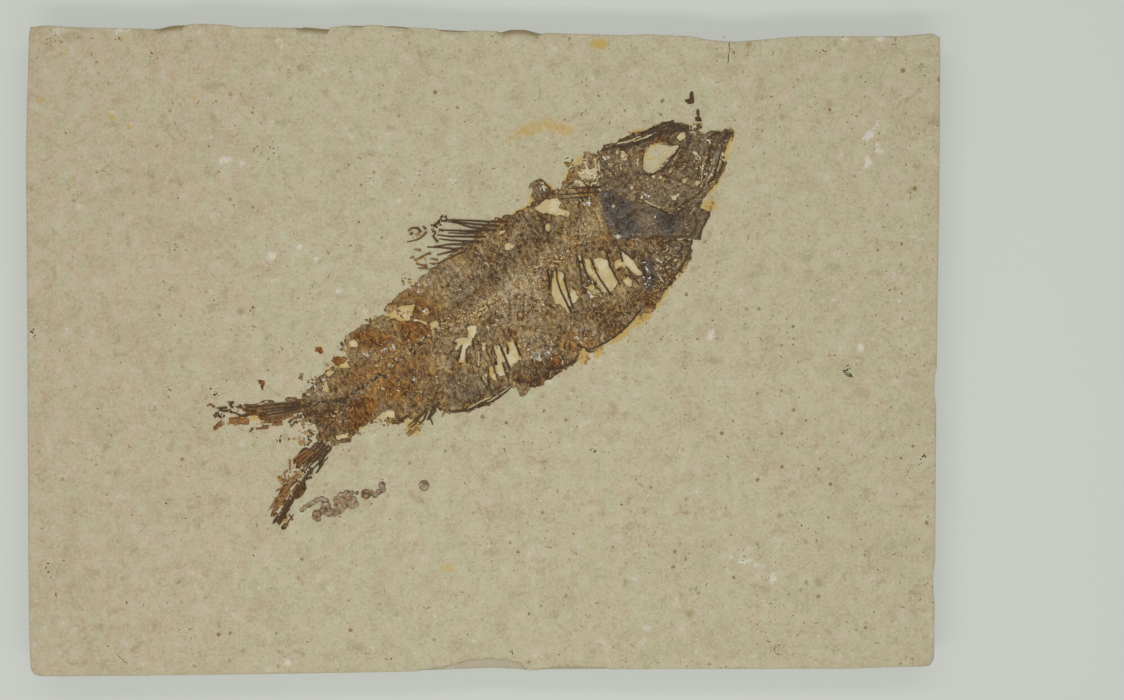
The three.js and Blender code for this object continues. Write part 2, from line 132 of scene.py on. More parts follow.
# Ribs, keel and nape bones: a tone from dark to light, then x and y by turns
RIBS = [
    (0.1, 547.8, 269, 549.4, 276, 549, 285, 550, 290), (0.3, 552, 271, 551, 279, 550.6, 287),
    (0.1, 556.3, 268, 557, 278, 560, 289, 564, 297.5, 571, 312),
    (0.1, 564.4, 273, 565.6, 285, 569, 295, 573, 308),
    (0.2, 575.6, 254, 579, 262.5, 580.6, 274, 581.5, 284, 585.6, 294),
    (0.1, 582, 254, 583, 264, 586.5, 274, 592, 284),
    (0.1, 590, 258, 594, 267.5, 599, 277.5, 605, 286, 611, 295),
    (0.1, 607, 252, 610, 266, 615, 276, 621, 285), (0.1, 616, 241, 620, 251, 622.5, 262),
    (0.2, 626, 267, 632.5, 276, 639, 285), (0.2, 462, 345, 459, 355, 456, 360), (0.2, 473, 338, 473.5, 350),
    (0.3, 466.5, 349, 466, 362), (0.4, 475, 346, 475.5, 365), (0.8, 478.7, 351, 478.7, 366),
    (0.3, 486, 345, 489.5, 357, 494, 367, 495, 373), (0.2, 492.5, 347, 495, 357.5, 497, 365),
    (0.1, 500, 344, 504, 354, 508, 364, 510, 368), (0.2, 507.5, 345, 508, 354),
    (0.1, 515, 341, 518, 350, 521, 357), (0.2, 502.5, 362, 506, 374, 509, 379),
    (0.2, 487.5, 377, 490, 387, 492, 394), (0.5, 481, 370, 485, 377.5, 487.5, 385),
    (0.05, 452, 411.5, 465, 411, 472.5, 408, 480, 403, 490, 399, 495, 395, 502.5, 390.5, 510, 386.5),
    (0.05, 478, 408, 487.5, 403, 492.5, 401, 499, 397.5, 505, 392.5, 510, 387.5),
    (1.0, 465, 409.5, 475, 405, 481, 401, 489, 398),
    (1.0, 485, 402, 490, 400.6, 496, 397, 504, 391, 510, 386.5),
    (0.1, 588, 350, 603, 344, 614, 337, 626, 327, 634, 318, 641, 309),
    (0.1, 546, 364, 552, 357, 560, 354, 564, 360), (0.2, 568, 185, 574, 182),
    (0.1, 568, 189, 580, 188, 601, 187), (0.1, 558, 195, 570, 194, 600, 192),
    (0.2, 560, 199, 575, 198, 590, 197),
]
BACKBONE = [320, 402, 335, 402, 345, 399, 352, 394, 358, 390, 365, 385, 372, 380, 378, 377]
SPINE_GRAINS = 64
VERTEBRAE = [(383, 376), (389, 368), (396, 361), (404, 355), (412, 350), (421, 343), (429, 337), (437, 332)]
SPINE_LINE = [437, 332, 445, 328, 460, 318, 475, 312, 490, 302, 520, 284, 560, 252, 600, 216]
BELLY_EDGE = [
    [450, 411, 465, 410, 480, 405, 495, 397, 510, 386], [578, 345, 586, 349, 592, 353],
    [550, 370, 560, 368, 574, 362, 580, 352], [668, 286, 676, 274, 684, 262, 690, 250, 693, 240],
]
# Fin rays and strands: a tone from dark to light, then x and y by turns from tip to root
DORSAL_RAYS = [
    (0.1, 446, 220, 460, 220, 475, 221, 490, 222, 508, 222),
    (0.2, 452, 221, 462, 222.5, 475, 224.5, 500, 226), (0.15, 448, 221.5, 460, 224, 470, 227, 488, 229.5),
    (0.1, 439, 230, 450, 230.5, 470, 231, 495, 230), (0.3, 448, 233, 465, 233.5, 482, 232.5),
    (0.1, 437, 235, 450, 236.5, 486, 237), (0.15, 439, 239, 455, 240.5, 480, 242),
    (0.3, 434, 246.5, 450, 244.5, 465, 244), (0.25, 427, 247, 440, 247.5, 455, 249, 464, 248.5),
    (0.3, 437, 255, 446, 253, 458, 250), (0.2, 436, 264, 444, 261, 452, 257, 463, 252),
    (0.6, 430, 258.5, 438, 260), (0.5, 430, 263.5, 435, 264), (0.2, 440, 218, 443, 216),
    (0.2, 447, 219, 445, 216), (0.2, 441, 221, 447, 221), (0.3, 431, 226, 440, 222.5),
    (0.3, 431, 229, 436, 232, 433, 236.5, 438, 242), (0.3, 439, 229, 443, 231), (0.5, 420, 257, 431, 253),
    (0.8, 410, 258, 414, 257), (0.9, 414, 260, 421, 258), (0.5, 416, 264, 427, 266),
    (0.6, 418, 268, 428, 268.5), (0.9, 414, 249.5, 421, 250), (0.5, 407, 242, 417, 240, 423, 236, 427, 232),
    (0.3, 408, 231, 412, 228, 418, 228, 421, 232), (0.3, 423, 226, 426, 229), (0.4, 410, 235, 413, 233),
]
ANAL_RAYS = [
    (0.2, 430, 406, 434, 400, 437, 392), (0.1, 427, 420, 430, 414, 434, 408, 439, 402),
    (0.2, 428, 420, 431, 416, 436, 410), (0.3, 408, 426, 414, 421, 422, 415, 428, 408),
    (0.2, 433, 425, 430, 418, 432, 413), (0.2, 419, 425, 424, 420, 427, 412),
    (0.3, 410, 428, 415, 424, 420, 417), (0.7, 408, 436, 411, 434, 416, 429), (0.6, 406, 434, 411, 430),
    (0.2, 387, 417, 392, 421, 400, 420, 407, 416), (0.3, 392, 424, 404, 421), (0.8, 442, 417, 445, 411),
]
TAIL_STRANDS = [
    (0.2, 217, 408, 227, 407.5), (0.2, 219, 410.5, 228, 411), (0.3, 228, 402, 234, 402.5),
    (0.3, 229, 404, 233, 408), (0.4, 236, 406, 238, 408, 241, 406, 244, 410, 247, 411),
    (0.2, 230, 412, 236, 413, 241, 416, 248, 415.5), (0.1, 247, 407, 258, 407.5), (0.1, 248, 410, 256, 411),
    (0.5, 207, 406, 210, 404, 215, 407), (0.5, 213, 415, 219, 416),
    (0.1, 258, 407, 272, 405, 285, 404, 300, 403), (0.15, 260, 410, 285, 407, 306, 405),
    (0.05, 262, 413, 285, 409, 308, 407), (0.2, 262, 416, 280, 413, 298, 409),
    (0.5, 264, 419, 282, 416, 298, 411), (0.7, 270, 421, 280, 420, 286, 418), (0.6, 272, 425, 281, 422),
    (0.5, 288, 422, 295, 418, 302, 415), (0.4, 291, 427, 296, 421), (0.3, 250, 432, 253, 428),
    (0.2, 279, 523, 286, 509, 294, 497, 303, 481, 312, 468), (0.25, 281, 522, 290, 506, 299, 490, 308, 474),
    (0.3, 279, 520, 284, 510, 290, 500), (0.8, 272, 516, 277, 507, 283, 500, 290, 490),
    (0.7, 270, 508, 277, 499, 284, 491, 292, 482), (0.8, 272, 512, 280, 500, 288, 488, 297, 476),
    (0.6, 276, 491, 287, 486), (0.7, 281, 484, 288, 480, 298, 475), (0.8, 286, 478, 284, 473, 288, 470),
    (0.7, 290, 470, 290, 460), (0.6, 294, 464, 302, 457, 312, 451), (0.7, 293, 460, 299, 455, 308, 450),
    (0.6, 298, 466, 306, 459, 314, 452), (0.1, 303, 463, 312, 454, 322, 442),
    (0.05, 306, 465, 316, 455, 325, 444), (0.1, 309, 467, 319, 457, 329, 445),
    (0.05, 313, 469, 322, 460, 331, 448), (0.2, 318, 472, 321, 464), (0.2, 304, 480, 312, 477),
    (0.5, 289, 514, 293, 520), (0.6, 283, 525, 288, 525),
]
# Crumbs of bone as centre, spread, number and tone
CRUMBS = [
    (308, 432, 9, 8, 34, 0.4), (306, 443, 7, 4, 18, 0.5), (293, 440, 8, 4, 8, 0.5),
    (300, 420, 10, 5, 26, 0.4), (296, 470, 6, 6, 24, 0.45), (310, 470, 5, 4, 10, 0.3),
    (300, 482, 6, 5, 16, 0.3), (284, 478, 5, 4, 10, 0.7), (276, 500, 5, 6, 12, 0.7),
    (240, 407, 9, 4, 14, 0.3), (222, 412, 9, 5, 12, 0.4), (264, 423, 8, 3, 8, 0.7), (282, 522, 6, 5, 8, 0.6),
    (418, 262, 8, 6, 10, 0.8), (436, 226, 5, 7, 14, 0.25), (416, 233, 6, 5, 16, 0.7),
    (414, 427, 9, 5, 14, 0.6), (385, 422, 14, 4, 16, 0.6), (356, 432, 14, 4, 12, 0.6),
    (337, 370, 10, 5, 18, 0.6), (318, 384, 10, 7, 24, 0.4), (378, 320, 12, 5, 20, 0.4),
    (404, 313, 7, 4, 12, 0.7), (350, 352, 8, 8, 14, 0.7), (408, 284, 8, 6, 16, 0.5),
    (582, 358, 6, 5, 10, 0.8), (604, 350, 10, 4, 10, 0.8), (642, 318, 8, 6, 12, 0.8),
    (572, 168, 7, 8, 20, 0.35), (590, 158, 7, 5, 12, 0.3), (632, 134, 8, 4, 10, 0.6),
    (694, 128, 5, 4, 12, 0.25), (700, 127, 2, 3, 5, 0.6), (710, 206, 4, 4, 5, 0.8),
]
SCALE_CRUMBS = [
    (450, 326, 12, 6, 30, 0.7), (472, 314, 12, 6, 34, 0.8), (494, 300, 14, 6, 34, 0.8),
    (524, 280, 16, 8, 34, 0.7), (556, 254, 16, 9, 32, 0.7), (586, 228, 12, 9, 28, 0.7),
    (668, 262, 12, 14, 34, 0.7), (616, 166, 10, 10, 34, 0.7), (640, 186, 16, 7, 26, 0.6),
    (704, 166, 8, 16, 34, 0.8), (360, 356, 22, 10, 34, 0.6), (396, 350, 18, 10, 28, 0.6),
    (400, 392, 22, 10, 26, 0.5), (480, 270, 24, 16, 34, 0.5), (540, 228, 26, 12, 34, 0.5),
    (560, 330, 24, 12, 30, 0.5), (600, 305, 16, 14, 28, 0.5), (330, 410, 12, 12, 20, 0.6),
    (430, 380, 24, 12, 24, 0.5), (690, 222, 10, 8, 12, 0.7), (650, 228, 8, 6, 14, 0.7),
]
# Fossil droppings as beads of centre and radius
DROPPINGS = {}
DROPPINGS["coprolite_string"] = [
    (302, 510, 2.3), (305, 507, 2.5), (309, 505, 2.8), (313, 502.5, 2.8), (317, 500, 2.8), (322, 499, 3),
    (326, 501, 3), (326, 506, 5), (324, 510, 4.5), (317, 514, 4.5), (315, 517, 3), (318, 519, 3),
    (329, 512, 4.5), (334, 512.5, 4), (339, 511, 3.5), (342, 509, 3), (337, 500, 4), (341, 496, 4),
    (347, 494, 4), (352, 493, 2.5), (357, 493, 2), (343, 501, 4), (348, 499, 4), (353, 500, 4),
    (345, 506, 3), (352, 505, 4), (356, 504, 3), (336, 505, 2.5),
]
DROPPINGS["coprolite_end"] = [
    (366, 494, 5), (371, 493, 3), (375, 495, 3), (379, 492, 3), (383, 490, 3), (382, 485, 3.5),
]
DROPPINGS["coprolite_pellet"] = [(424, 485.5, 5.3)]


def numbered(name, count):
    """The CAD names of a row of like pieces"""
    return [f"{name}_{index + 1}" for index in range(count)]


def on_face(pixels):
    """Photo pixels, as pairs or as x and y by turns, in millimetres on the slab's face"""
    places = np.reshape(pixels, (-1, 2)).astype(float)
    return np.stack([
        (places[:, 0] - PHOTO_MIDDLE[0]) / PIXELS_PER_MM,
        (PHOTO_MIDDLE[1] - places[:, 1]) / PIXELS_PER_MM,
    ], axis=1)


def smooth(value):
    """An eased ramp from 0 to 1"""
    held = np.clip(value, 0, 1)
    return held * held * (3 - 2 * held)


def cell_noise(points, size, seed):
    """Soft random values of 0 to 1 that change over about one size"""
    table = np.random.RandomState(seed).rand(NOISE_TABLE, NOISE_TABLE)
    scaled = points / size
    cell = np.floor(scaled).astype(int)
    share = smooth(scaled - cell)
    x0, y0 = (cell % NOISE_TABLE).T
    x1, y1 = ((cell + 1) % NOISE_TABLE).T
    low = table[x0, y0] * (1 - share[:, 0]) + table[x1, y0] * share[:, 0]
    high = table[x0, y1] * (1 - share[:, 0]) + table[x1, y1] * share[:, 0]
    return low * (1 - share[:, 1]) + high * share[:, 1]


def fractal(points, size, octaves, seed):
    """Layered noise around 0, from -1 to 1"""
    total = np.zeros(len(points))
    weight = 0
    for octave in range(octaves):
        share = 0.55 ** octave
        total += share * (2 * cell_noise(points, size / 2 ** octave, seed + octave) - 1)
        weight += share
    return total / weight


def warped(points, reach, size, seed):
    """Points pushed about by noise, so that painted shapes get natural edges"""
    push = np.stack([fractal(points, size, 3, seed), fractal(points, size, 3, seed + 50)], axis=1)
    return points + reach * push


def combed(points, turn):
    """Points drawn together along a direction, so that noise on them frays that way"""
    along = np.array([math.cos(math.radians(turn)), math.sin(math.radians(turn))])
    return np.stack([points @ along * 0.3, points @ (-along[1], along[0]) * 1.5], axis=1)


def path_distance(points, path):
    """Distance from each point to a line of straight stretches"""
    nearest = np.full(len(points), np.inf)
    for start, end in zip(path[:-1], path[1:]):
        along = end - start
        share = np.clip(((points - start) @ along) / max(along @ along, 1e-12), 0, 1)
        gap = points - start - share[:, None] * along
        nearest = np.minimum(nearest, np.einsum("ij,ij->i", gap, gap))
    return np.sqrt(nearest)


def edge_distance(points, loops):
    """Distance to the nearest outline, positive inside it"""
    nearest = np.full(len(points), np.inf)
    inside = np.zeros(len(points), bool)
    for loop in loops:
        closed = np.vstack([loop, loop[:1]])
        nearest = np.minimum(nearest, path_distance(points, closed))
        for start, end in zip(closed[:-1], closed[1:]):
            if start[1] == end[1]:
                continue
            spans = (start[1] > points[:, 1]) != (end[1] > points[:, 1])
            crossing = start[0] + (points[:, 1] - start[1]) * (end[0] - start[0]) / (end[1] - start[1])
            inside ^= spans & (points[:, 0] < crossing)
    return np.where(inside, nearest, -nearest)


def stroke(points, pixels, width):
    """1 on a painted line, fading to 0 at the given width in photo pixels"""
    return smooth(1 - path_distance(points, on_face(pixels)) * PIXELS_PER_MM / width)


def zone(points, pixels, soft):
    """1 inside a painted patch, with a soft border in photo pixels"""
    reach = soft / PIXELS_PER_MM
    return smooth(0.5 + edge_distance(points, [on_face(pixels)]) / (2 * reach))


def spot(points, x, y, radius):
    """1 in the middle of a round mark in photo pixels, fading to 0 at its rim"""
    middle = on_face([(x, y)])[0]
    return smooth(1.5 - 1.5 * np.linalg.norm(points - middle, axis=1) * PIXELS_PER_MM / radius)


def strongest(masks, count):
    """The highest of several masks at each point"""
    return np.max([np.zeros(count), *masks], axis=0)


def painted_zones(points, zones):
    """The strongest of several painted patches at each point, each with its strength and softness"""
    return strongest([strength * zone(points, patch, soft) for strength, soft, *patch in zones], len(points))


def painted_lines(points, lines):
    """The strongest of several painted lines at each point, each with its strength and width"""
    strokes = [strength * stroke(points, path, width) for strength, width, *path in lines]
    return strongest(strokes, len(points))


def painted_spots(points, spots):
    """The strongest of several round marks at each point, each with its centre and radius"""
    return strongest([spot(points, *mark) for mark in spots], len(points))


def zone_masks(points, **zones):
    """Painted patches for several masks of a film"""
    return {mask: painted_zones(points, patches) for mask, patches in zones.items()}


def cad_loops(node, level):
    """Outlines in millimetres of a CAD node's flat face at a height"""
    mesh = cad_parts[node].data
    places = np.zeros(len(mesh.vertices) * 3, np.float32)
    mesh.vertices.foreach_get("co", places)
    places = np.round(places.reshape(-1, 3) / MM, 3)
    unique, index = np.unique(places, axis=0, return_inverse=True)
    mesh.calc_loop_triangles()
    corners = np.zeros(len(mesh.loop_triangles) * 3, np.int32)
    mesh.loop_triangles.foreach_get("vertices", corners)
    triangles = index.ravel()[corners].reshape(-1, 3)
    flat = triangles[np.all(np.abs(unique[triangles, 2] - level) < 1e-3, axis=1)]
    edges = np.sort(np.vstack([flat[:, [0, 1]], flat[:, [1, 2]], flat[:, [2, 0]]]), axis=1)
    pairs, times = np.unique(edges, axis=0, return_counts=True)
    beside = {}
    for a, b in pairs[times == 1]:
        beside.setdefault(a, []).append(b)
        beside.setdefault(b, []).append(a)
    loops = []
    while beside:
        start = next(iter(beside))
        walk = [start]
        while True:
            onward = [vertex for vertex in beside.pop(walk[-1]) if vertex in beside]
            if not onward:
                break
            walk.append(onward[0])
        loops.append(unique[walk, :2].astype(float))
    return loops


def top_loops(node):
    """Outlines of the top of a flat CAD plate"""
    return cad_loops(node, round(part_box(node)[1].z / MM, 3))


def outer_loop(node):
    """The outline around the top of a flat CAD plate, without its holes"""
    return max(top_loops(node), key=lambda loop: np.ptp(loop[:, 0]))


def grid_points(xs, ys):
    """Every point of a grid, row by row"""
    return np.stack(np.meshgrid(xs, ys), axis=2).reshape(-1, 2)


def grid_triangles(rows, columns):
    """Two triangles for each cell of a grid"""
    corner = np.arange(rows * columns).reshape(rows, columns)
    a, b = corner[:-1, :-1].ravel(), corner[:-1, 1:].ravel()
    c, d = corner[1:, 1:].ravel(), corner[1:, :-1].ravel()
    return np.vstack([np.stack([a, b, c], 1), np.stack([a, c, d], 1)])


def contour_sheet(xs, ys, field):
    """Triangles of the part of a grid where the field is positive, cut along its zero line"""
    grid = grid_points(xs, ys)
    triangles = grid_triangles(len(ys), len(xs))
    held = field > 0
    count = held[triangles].sum(axis=1)

    def turned(group, wanted):
        """The same triangles, started from their one corner that differs"""
        first = np.argmax(held[group] == wanted, axis=1)
        order = (first[:, None] + np.arange(3)) % 3
        return np.take_along_axis(group, order, axis=1)

    tips = turned(triangles[count == 1], True)
    cuts = turned(triangles[count == 2], False)
    crossings = np.vstack([tips[:, [0, 1]], tips[:, [0, 2]], cuts[:, [1, 0]], cuts[:, [2, 0]]])
    keys, back = np.unique(np.sort(crossings, axis=1), axis=0, return_inverse=True)
    share = field[keys[:, 0]] / (field[keys[:, 0]] - field[keys[:, 1]])
    share = np.clip(share, 0.06, 0.94)[:, None]
    cut_places = grid[keys[:, 0]] * (1 - share) + grid[keys[:, 1]] * share
    new = back.ravel() + len(grid)
    tip_1, tip_2, cut_1, cut_2 = np.split(new, np.cumsum([len(tips), len(tips), len(cuts)]))
    joined = np.vstack([
        triangles[count == 3],
        np.stack([tips[:, 0], tip_1, tip_2], 1),
        np.stack([cuts[:, 1], cuts[:, 2], cut_1], 1),
        np.stack([cuts[:, 2], cut_2, cut_1], 1),
    ])
    used, renumbered = np.unique(joined, return_inverse=True)
    return np.vstack([grid, cut_places])[used], renumbered.reshape(-1, 3)


def border_edges(triangles):
    """The directed edges that only one triangle has"""
    edges = np.vstack([triangles[:, [0, 1]], triangles[:, [1, 2]], triangles[:, [2, 0]]]).astype(np.int64)
    span = triangles.max() + 1
    forward = edges[:, 0] * span + edges[:, 1]
    return edges[~np.isin(forward, edges[:, 1] * span + edges[:, 0])]


def closed_film(places, triangles, heights, base):
    """A sheet with a wall down from its border and a flat bottom"""
    edges = border_edges(triangles)
    rim, foot = np.unique(edges, return_inverse=True)
    foot = foot.reshape(-1, 2) + len(places)
    walls = np.vstack([
        np.stack([edges[:, 0], foot[:, 0], foot[:, 1]], 1),
        np.stack([edges[:, 0], foot[:, 1], edges[:, 1]], 1),
    ])
    outline = [Vector(place) for place in places[rim]]
    ties = [tuple(int(end) for end in pair) for pair in foot - len(places)]
    _, _, faces, sources, _, _ = delaunay_2d_cdt(outline, ties, [], 2, 1e-9)
    sources = np.array([source[0] for source in sources])
    bottom = sources[np.array(faces)][:, ::-1] + len(places)
    vertices = np.vstack([
        np.column_stack([places, heights]),
        np.column_stack([places[rim], np.full(len(rim), base)]),
    ])
    return vertices, np.vstack([triangles, walls, bottom]), rim


def plain_mesh(name, vertices, triangles):
    """A smooth mesh from millimetre places and triangles"""
    mesh = bpy.data.meshes.new(name)
    mesh.vertices.add(len(vertices))
    mesh.vertices.foreach_set("co", (np.asarray(vertices) * MM).astype(np.float32).ravel())
    mesh.loops.add(len(triangles) * 3)
    mesh.loops.foreach_set("vertex_index", np.asarray(triangles, np.int32).ravel())
    mesh.polygons.add(len(triangles))
    mesh.polygons.foreach_set("loop_start", np.arange(0, len(triangles) * 3, 3, dtype=np.int32))
    mesh.polygons.foreach_set("use_smooth", np.ones(len(triangles), bool))
    mesh.update(calc_edges=True)
    mesh.validate()
    return mesh


def store(mesh, name, *channels):
    """Keeps up to four painted channels on a mesh as one colour attribute"""
    count = len(mesh.vertices)
    values = np.zeros((count, 4), np.float32)
    for index, channel in enumerate(channels):
        values[:len(channel), index] = channel
    attribute = mesh.attributes.new(name, "FLOAT_COLOR", "POINT")
    attribute.data.foreach_set("color", values.ravel())


def placed(name, data):
    """A new object in the scene"""
    made = bpy.data.objects.new(name, data)
    bpy.context.scene.collection.objects.link(made)
    return made


def add_piece(name, mesh, material, nodes=()):
    """Puts a finished mesh in the scene on the slab's body"""
    if not mesh.polygons:
        raise RuntimeError(f"{name} came out without faces")
    piece = placed(name, mesh)
    if material and not mesh.materials:
        mesh.materials.append(material)
    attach(piece, "root")
    if nodes:
        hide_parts(*nodes)


class Wiring:
    """Adds nodes to a tree, with their inputs joined or set in the same call"""

    def __init__(self, tree):
        self.tree = tree

    def add(self, kind, inputs=None, **settings):
        node = self.tree.nodes.new(kind)
        for name, value in settings.items():
            setattr(node, name, value)
        for key, value in (inputs or {}).items():
            if isinstance(value, bpy.types.NodeSocket):
                self.tree.links.new(value, node.inputs[key])
            else:
                node.inputs[key].default_value = value
        return node

    def first(self, kind, inputs=None, **settings):
        """The first output of a new node"""
        return self.add(kind, inputs, **settings).outputs[0]

    def noise(self, place, size, detail=4.0, roughness=0.55):
        """Cloudy values of 0 to 1 whose lumps are about one size across"""
        settings = {"Vector": place, "Scale": 1 / size, "Detail": detail, "Roughness": roughness}
        return self.add("ShaderNodeTexNoise", settings).outputs["Fac"]

    def step(self, value, low, high):
        """An eased step from 0 at low to 1 at high"""
        inputs = {"Value": value, "From Min": low, "From Max": high}
        return self.add("ShaderNodeMapRange", inputs, interpolation_type="SMOOTHSTEP").outputs["Result"]

    def link(self, output, socket):
        self.tree.links.new(output, socket)

    def math(self, operation, first, second=0.0):
        return self.first("ShaderNodeMath", {0: first, 1: second}, operation=operation)

    def times(self, first, second):
        return self.math("MULTIPLY", first, second)

    def total(self, *parts):
        """The sum of several values, each times its weight"""
        result = self.times(*parts[0])
        for part in parts[1:]:
            result = self.math("ADD", result, self.times(*part))
        return result

    def vector(self, operation, first, second):
        key = 3 if operation == "SCALE" else 1
        return self.first("ShaderNodeVectorMath", {0: first, key: second}, operation=operation)

    def shaken(self, mask, noise, amount):
        """A mask with noise added, so that a later step cuts it ragged"""
        return self.math("ADD", mask, self.times(self.math("SUBTRACT", noise, 0.5), amount))

    def mix(self, factor, first, second, strength=1.0, blend="MIX"):
        """The second colour over the first, as far as the factor times the strength goes"""
        def four(value):
            return value if isinstance(value, bpy.types.NodeSocket) else (*value[:3], 1.0)
        if strength < 1:
            factor = self.times(factor, strength)
        inputs = {0: factor, 6: four(first), 7: four(second)}
        return self.add("ShaderNodeMix", inputs, data_type="RGBA", blend_type=blend).outputs[2]

    def tinted(self, factor, base, ratio):
        """A colour multiplied by a filter where the factor is 1"""
        return self.mix(factor, base, ratio, blend="MULTIPLY")

    def ridge(self, noise):
        """0 along thin lines where the noise passes its middle"""
        return self.math("ABSOLUTE", self.math("SUBTRACT", noise, 0.5))

    def push(self, place, scale, detail, reach):
        """Noise as pushes to all sides"""
        noise = self.add("ShaderNodeTexNoise", {"Vector": place, "Scale": scale, "Detail": detail})
        return self.vector("SCALE", self.vector("SUBTRACT", noise.outputs["Color"], (0.5, 0.5, 0.5)), reach)

    def swirled(self, place, size, reach):
        """Places pushed about by noise, for marks that wander"""
        return self.vector("ADD", place, self.push(place, 1 / size, 2.0, reach))

    def fibres(self, place, turn, extra):
        """Noise drawn out along a direction"""
        inputs = {"Vector": place, "Angle": self.math("ADD", turn, extra)}
        turned = self.first("ShaderNodeVectorRotate", inputs, rotation_type="Z_AXIS")
        return self.noise(self.vector("MULTIPLY", turned, (0.5, 2.0, 1.0)), 1.0, 4.0, 0.62)

    def millimetres(self):
        """Object coordinates in millimetres"""
        return self.vector("SCALE", self.add("ShaderNodeTexCoord").outputs["Object"], 1 / MM)


def node_tree(kind, name, inputs, outputs):
    """An empty node tree with its named sockets, as (wiring, input sockets, output node)"""
    tree = bpy.data.node_groups.new(name, kind)
    for way, sockets in (("INPUT", inputs), ("OUTPUT", outputs)):
        for socket, sort, default in sockets:
            made = tree.interface.new_socket(name=socket, in_out=way, socket_type="NodeSocket" + sort)
            if default is not None:
                made.default_value = default
    wire = Wiring(tree)
    return wire, wire.add("NodeGroupInput").outputs, wire.add("NodeGroupOutput")


STONE_MASKS = ("Cream", "Ochre", "Scar", "Bleach")
# Sheen is a painted sheen: a grey-white wash that lightens the bone films
BONE_MASKS = ("Dark", "Pale", "Rust", "Slate", "Depth", "Fleck", "Deepen", "Ash")
COLOUR_OUTPUT = ("Color", "Color", None)
HEIGHT_OUTPUT = ("Height", "Float", None)
ROUGHNESS_OUTPUT = ("Roughness", "Float", None)


def limestone_group(stone):
    """Buff limestone with cloudy tints, brown specks and stains that follow painted masks"""
    masks = [(name, "Float", 0.0) for name in STONE_MASKS]
    wire, given, leave = node_tree("ShaderNodeTree", "Limestone", masks, [COLOUR_OUTPUT, HEIGHT_OUTPUT])
    place = wire.millimetres()
    east = wire.add("ShaderNodeSeparateXYZ", {0: place}).outputs["X"]
    drift = wire.shaken(wire.step(east, -85.0, -10.0), wire.noise(place, 11.0, 3.0), 2.2)
    tint = wire.noise(place, 2.6, 4.0, 0.6)
    grain = wire.noise(place, 0.6, 4.0, 0.7)
    dust = wire.noise(place, 0.24, 2.0, 0.6)
    smudge = wire.noise(wire.swirled(place, 5.0, 4.0), 3.4, 5.0, 0.68)
    crowd = wire.math("ADD", wire.noise(place, 13.0, 3.0), wire.times(east, 0.0012))
    crowd = wire.step(crowd, 0.4, 0.62)
    blush = wire.noise(place, 3.2, 3.0, 0.6)
    colour = wire.mix(wire.step(drift, 0.2, 0.8), stone.warm_tint, stone.cool_tint)
    for noise, low, high, tone, strength in (
        (wire.noise(place, 9.0, 4.0, 0.6), 0.48, 0.66, stone.dark_tint, 0.26),
        (tint, 0.5, 0.68, stone.light_tint, 0.25),
        (tint, 0.5, 0.34, stone.dark_tint, 0.25),
        (smudge, 0.54, 0.66, stone.dark_tint, 0.6),
        (smudge, 0.62, 0.74, stone.speck_tint, 0.3),
        (grain, 0.52, 0.66, stone.dark_tint, 0.75),
        (grain, 0.47, 0.34, stone.light_tint, 0.65),
        (dust, 0.54, 0.7, stone.light_tint, 0.45),
        (dust, 0.45, 0.3, stone.dark_tint, 0.45),
    ):
        colour = wire.mix(wire.step(noise, low, high), colour, tone, strength)
    colour = wire.tinted(wire.step(blush, 0.48, 0.62), colour, (1.02, 0.975, 0.985))
    colour = wire.tinted(wire.step(blush, 0.52, 0.38), colour, (0.98, 1.015, 0.985))

    def dots(cells, share, reach):
        """Ragged dots in some of the cells of a jumbled grid"""
        grid = wire.add("ShaderNodeTexVoronoi", {"Vector": place, "Scale": 1 / cells})
        rank = wire.add("ShaderNodeSeparateColor", {"Color": grid.outputs["Color"]}).outputs["Red"]
        wide = wire.times(wire.step(rank, 1 - share, 1.05), reach / cells)
        near = wire.math("SUBTRACT", wide, wire.shaken(grid.outputs["Distance"], grain, 3.0 * reach / cells))
        cut = wire.step(near, -0.3 * reach / cells, 0.3 * reach / cells)
        return wire.times(cut, wire.math("ADD", wire.times(crowd, 0.6), 0.4))

    for cells, share, reach, tone, strength in (
        (6.0, 0.55, 0.8, stone.speck_tint, 0.5),
        (2.4, 0.5, 0.42, stone.speck_tint, 0.9),
        (0.9, 0.5, 0.2, stone.speck_tint, 0.8),
        (1.6, 0.2, 0.3, stone.bleach_tint, 0.5),
    ):
        colour = wire.mix(dots(cells, share, reach), colour, tone, strength)
    fresh = wire.mix(wire.step(tint, 0.42, 0.62), stone.cream_shade, stone.cream_tint)
    for mask, noise, tone, strength, rough in (
        ("Cream", grain, fresh, 0.9, 1.0),
        ("Ochre", grain, stone.ochre_tint, 0.85, 1.0),
        ("Scar", tint, stone.scar_tint, 0.8, 1.0),
        ("Bleach", grain, stone.bleach_tint, 0.75, 2.2),
    ):
        ragged = wire.shaken(wire.shaken(given[mask], noise, rough), tint, 0.9 * rough)
        colour = wire.mix(wire.step(ragged, 0.25, 0.75), colour, tone, strength)
    wire.link(colour, leave.inputs["Color"])
    wire.link(wire.total((grain, 0.6), (dust, 0.3)), leave.inputs["Height"])
    return wire.tree


